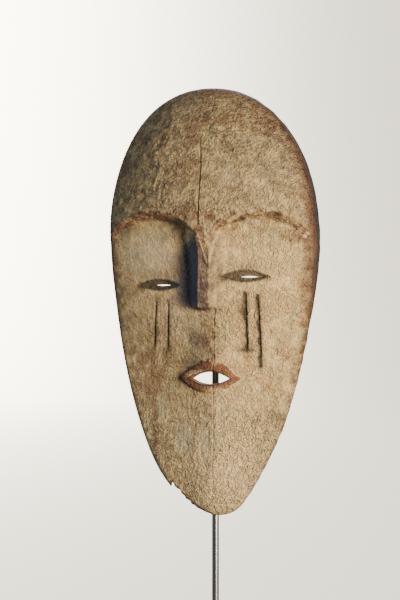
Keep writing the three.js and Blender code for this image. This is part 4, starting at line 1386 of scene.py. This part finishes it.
# The studio: a paper floor that curves up far away on every side and glows a little, most behind the mask.
# A soft key light stands in front at the mask's left, with a weak cool one at its right and one high behind,
# which lights the hollow. The room around is dim, and mirrored in the steel a little brighter.
FLOOR_REACH = 4.5
FLOOR_RINGS = 7
FIRST_RING = 0.6
SWEEP_RADIUS = 2.5
SWEEP_STEPS = 16
SWEEP_SIDES = 96
WALL_TOP = 7.0
CAMERA_TURN = math.radians(15.0)
GLOW_PLACE = Vector((-1.0, 7.0, 0.0))
GLOW_REACH = Vector((0.9, 5.2, 30.0))
GLOW_STRENGTH = 10.0
GLOW_EVERYWHERE = 1.7
CONTACT_REACH = 0.12
CONTACT_SHADE = 0.75
PAPER_COLOUR = (0.015, 0.0145, 0.0135, 1.0)
GLOW_COLOUR = (1.0, 0.93, 0.74, 1.0)
ROOM_COLOUR = (0.8, 0.88, 1.0, 1.0)
ROOM_STRENGTH = 0.07
MIRRORED_STRENGTH = 0.22

sweep = [(r, 0.0) for r in np.linspace(FIRST_RING, FLOOR_REACH, FLOOR_RINGS)]
for turn in np.linspace(0.0, QUARTER_TURN, SWEEP_STEPS + 1)[1:]:
    sweep.append((FLOOR_REACH + SWEEP_RADIUS * math.sin(turn), SWEEP_RADIUS * (1.0 - math.cos(turn))))
sweep.append((FLOOR_REACH + SWEEP_RADIUS, WALL_TOP))
floor_points = [(0.0, 0.0, 0.0)]
for r, z in sweep:
    for j in range(SWEEP_SIDES):
        angle = 2.0 * math.pi * j / SWEEP_SIDES
        floor_points.append((r * math.cos(angle), r * math.sin(angle), z))
floor_faces = []
for j in range(SWEEP_SIDES):
    k = (j + 1) % SWEEP_SIDES
    floor_faces.append((0, 1 + j, 1 + k))
    for i in range(len(sweep) - 1):
        a = 1 + i * SWEEP_SIDES
        floor_faces.append((a + j, a + SWEEP_SIDES + j, a + SWEEP_SIDES + k, a + k))
floor_mesh = bpy.data.meshes.new("studio_floor")
floor_mesh.from_pydata(floor_points, [], floor_faces)
floor_mesh.shade_smooth()
floor = bpy.data.objects.new("studio_floor", floor_mesh)
bpy.context.collection.objects.link(floor)

studio_paper = bpy.data.materials.new("studio_paper")
studio_paper.use_nodes = True
tree = studio_paper.node_tree
paper = tree.nodes["Principled BSDF"]
spot = {
    "Vector": add(tree, "TexCoord").outputs["Object"],
    "Location": Matrix.Rotation(CAMERA_TURN, 3, "Z") @ GLOW_PLACE,
    "Rotation": (0.0, 0.0, CAMERA_TURN),
    "Scale": GLOW_REACH,
}
spot = add(tree, "Mapping", spot, vector_type="TEXTURE").outputs["Vector"]
off = add(tree, "VectorMath", {0: spot, 1: spot}, operation="DOT_PRODUCT").outputs["Value"]
glow = sums(tree, "POWER", math.e, times(tree, off, -1.0))
glow = sums(tree, "MULTIPLY_ADD", glow, GLOW_STRENGTH, GLOW_EVERYWHERE)
# Near the stand's foot the glow is dimmed, a painted contact shadow.
near = add(tree, "AmbientOcclusion", {"Distance": CONTACT_REACH}, samples=8).outputs["AO"]
glow = times(tree, glow, sums(tree, "MULTIPLY_ADD", near, CONTACT_SHADE, 1.0 - CONTACT_SHADE))
tree.links.new(glow, paper.inputs["Emission Strength"])
paper.inputs["Base Color"].default_value = PAPER_COLOUR
paper.inputs["Emission Color"].default_value = GLOW_COLOUR
paper.inputs["Roughness"].default_value = 0.9
paper.inputs["Specular IOR Level"].default_value = 0.0
studio_paper.cycles.emission_sampling = "NONE"
floor_mesh.materials.append(studio_paper)
floor.visible_diffuse = False
floor.visible_glossy = False
floor.visible_shadow = False

world = bpy.data.worlds.new("studio")
world.use_nodes = True
tree = world.node_tree
surroundings = tree.nodes["Background"]
surroundings.inputs["Color"].default_value = ROOM_COLOUR
mirrored = add(tree, "LightPath").outputs["Is Glossy Ray"]
brightness = sums(tree, "MULTIPLY_ADD", mirrored, MIRRORED_STRENGTH, ROOM_STRENGTH)
tree.links.new(brightness, surroundings.inputs["Strength"])
bpy.context.scene.world = world

PIXEL = 0.8706 * MM
CAMERA_DISTANCE = 1.9
SENSOR_WIDTH = 36.0
CHIN_ROW = 514
MIDDLE_ROW = 300
ROD_ASIDE = 15.5
aim = Vector((0.0, RIM_Y * MM, CHIN_ABOVE_FLOOR * MM + (CHIN_ROW - MIDDLE_ROW) * PIXEL))
right = Vector((math.cos(CAMERA_TURN), math.sin(CAMERA_TURN), 0.0))
ahead = Vector((-math.sin(CAMERA_TURN), math.cos(CAMERA_TURN), 0.0))
aim += right * (-ROD_ASIDE * PIXEL - RIM_Y * MM * math.sin(CAMERA_TURN))
camera_data = bpy.data.cameras.new("camera")
camera_data.sensor_width = SENSOR_WIDTH
camera_data.lens = SENSOR_WIDTH * CAMERA_DISTANCE / (2 * MIDDLE_ROW * PIXEL)
camera = bpy.data.objects.new("camera", camera_data)
camera.location = aim - ahead * CAMERA_DISTANCE
camera.rotation_euler = (QUARTER_TURN, 0.0, CAMERA_TURN)
bpy.context.collection.objects.link(camera)
bpy.context.scene.camera = camera

LIT_PLACE = Vector((0.0, -0.03, 0.3))


def soft_light(name, azimuth, elevation, distance, size, watts, colour):
    """An area light that looks at the mask's middle from an azimuth, 0 in front and 90 at +X."""
    a, e = math.radians(azimuth), math.radians(elevation)
    way = Vector((math.sin(a) * math.cos(e), -math.cos(a) * math.cos(e), math.sin(e)))
    data = bpy.data.lights.new(name, "AREA")
    data.shape = "RECTANGLE"
    data.size, data.size_y = size
    data.energy = watts
    data.color = colour
    light = bpy.data.objects.new(name, data)
    light.location = LIT_PLACE + way * distance
    light.rotation_mode = "QUATERNION"
    light.rotation_quaternion = (-way).to_track_quat("-Z", "Y")
    light.visible_camera = False
    bpy.context.collection.objects.link(light)


soft_light("key_light", 54.0, -2.0, 1.7, (0.66, 0.45), 66.0, (1.0, 0.95, 0.81))
soft_light("fill_light", -80.0, 14.0, 3.2, (1.8, 1.0), 56.0, (0.68, 0.84, 1.0))
soft_light("back_light", 195.0, 32.0, 3.8, (1.8, 1.2), 125.0, (1.0, 0.98, 0.95))
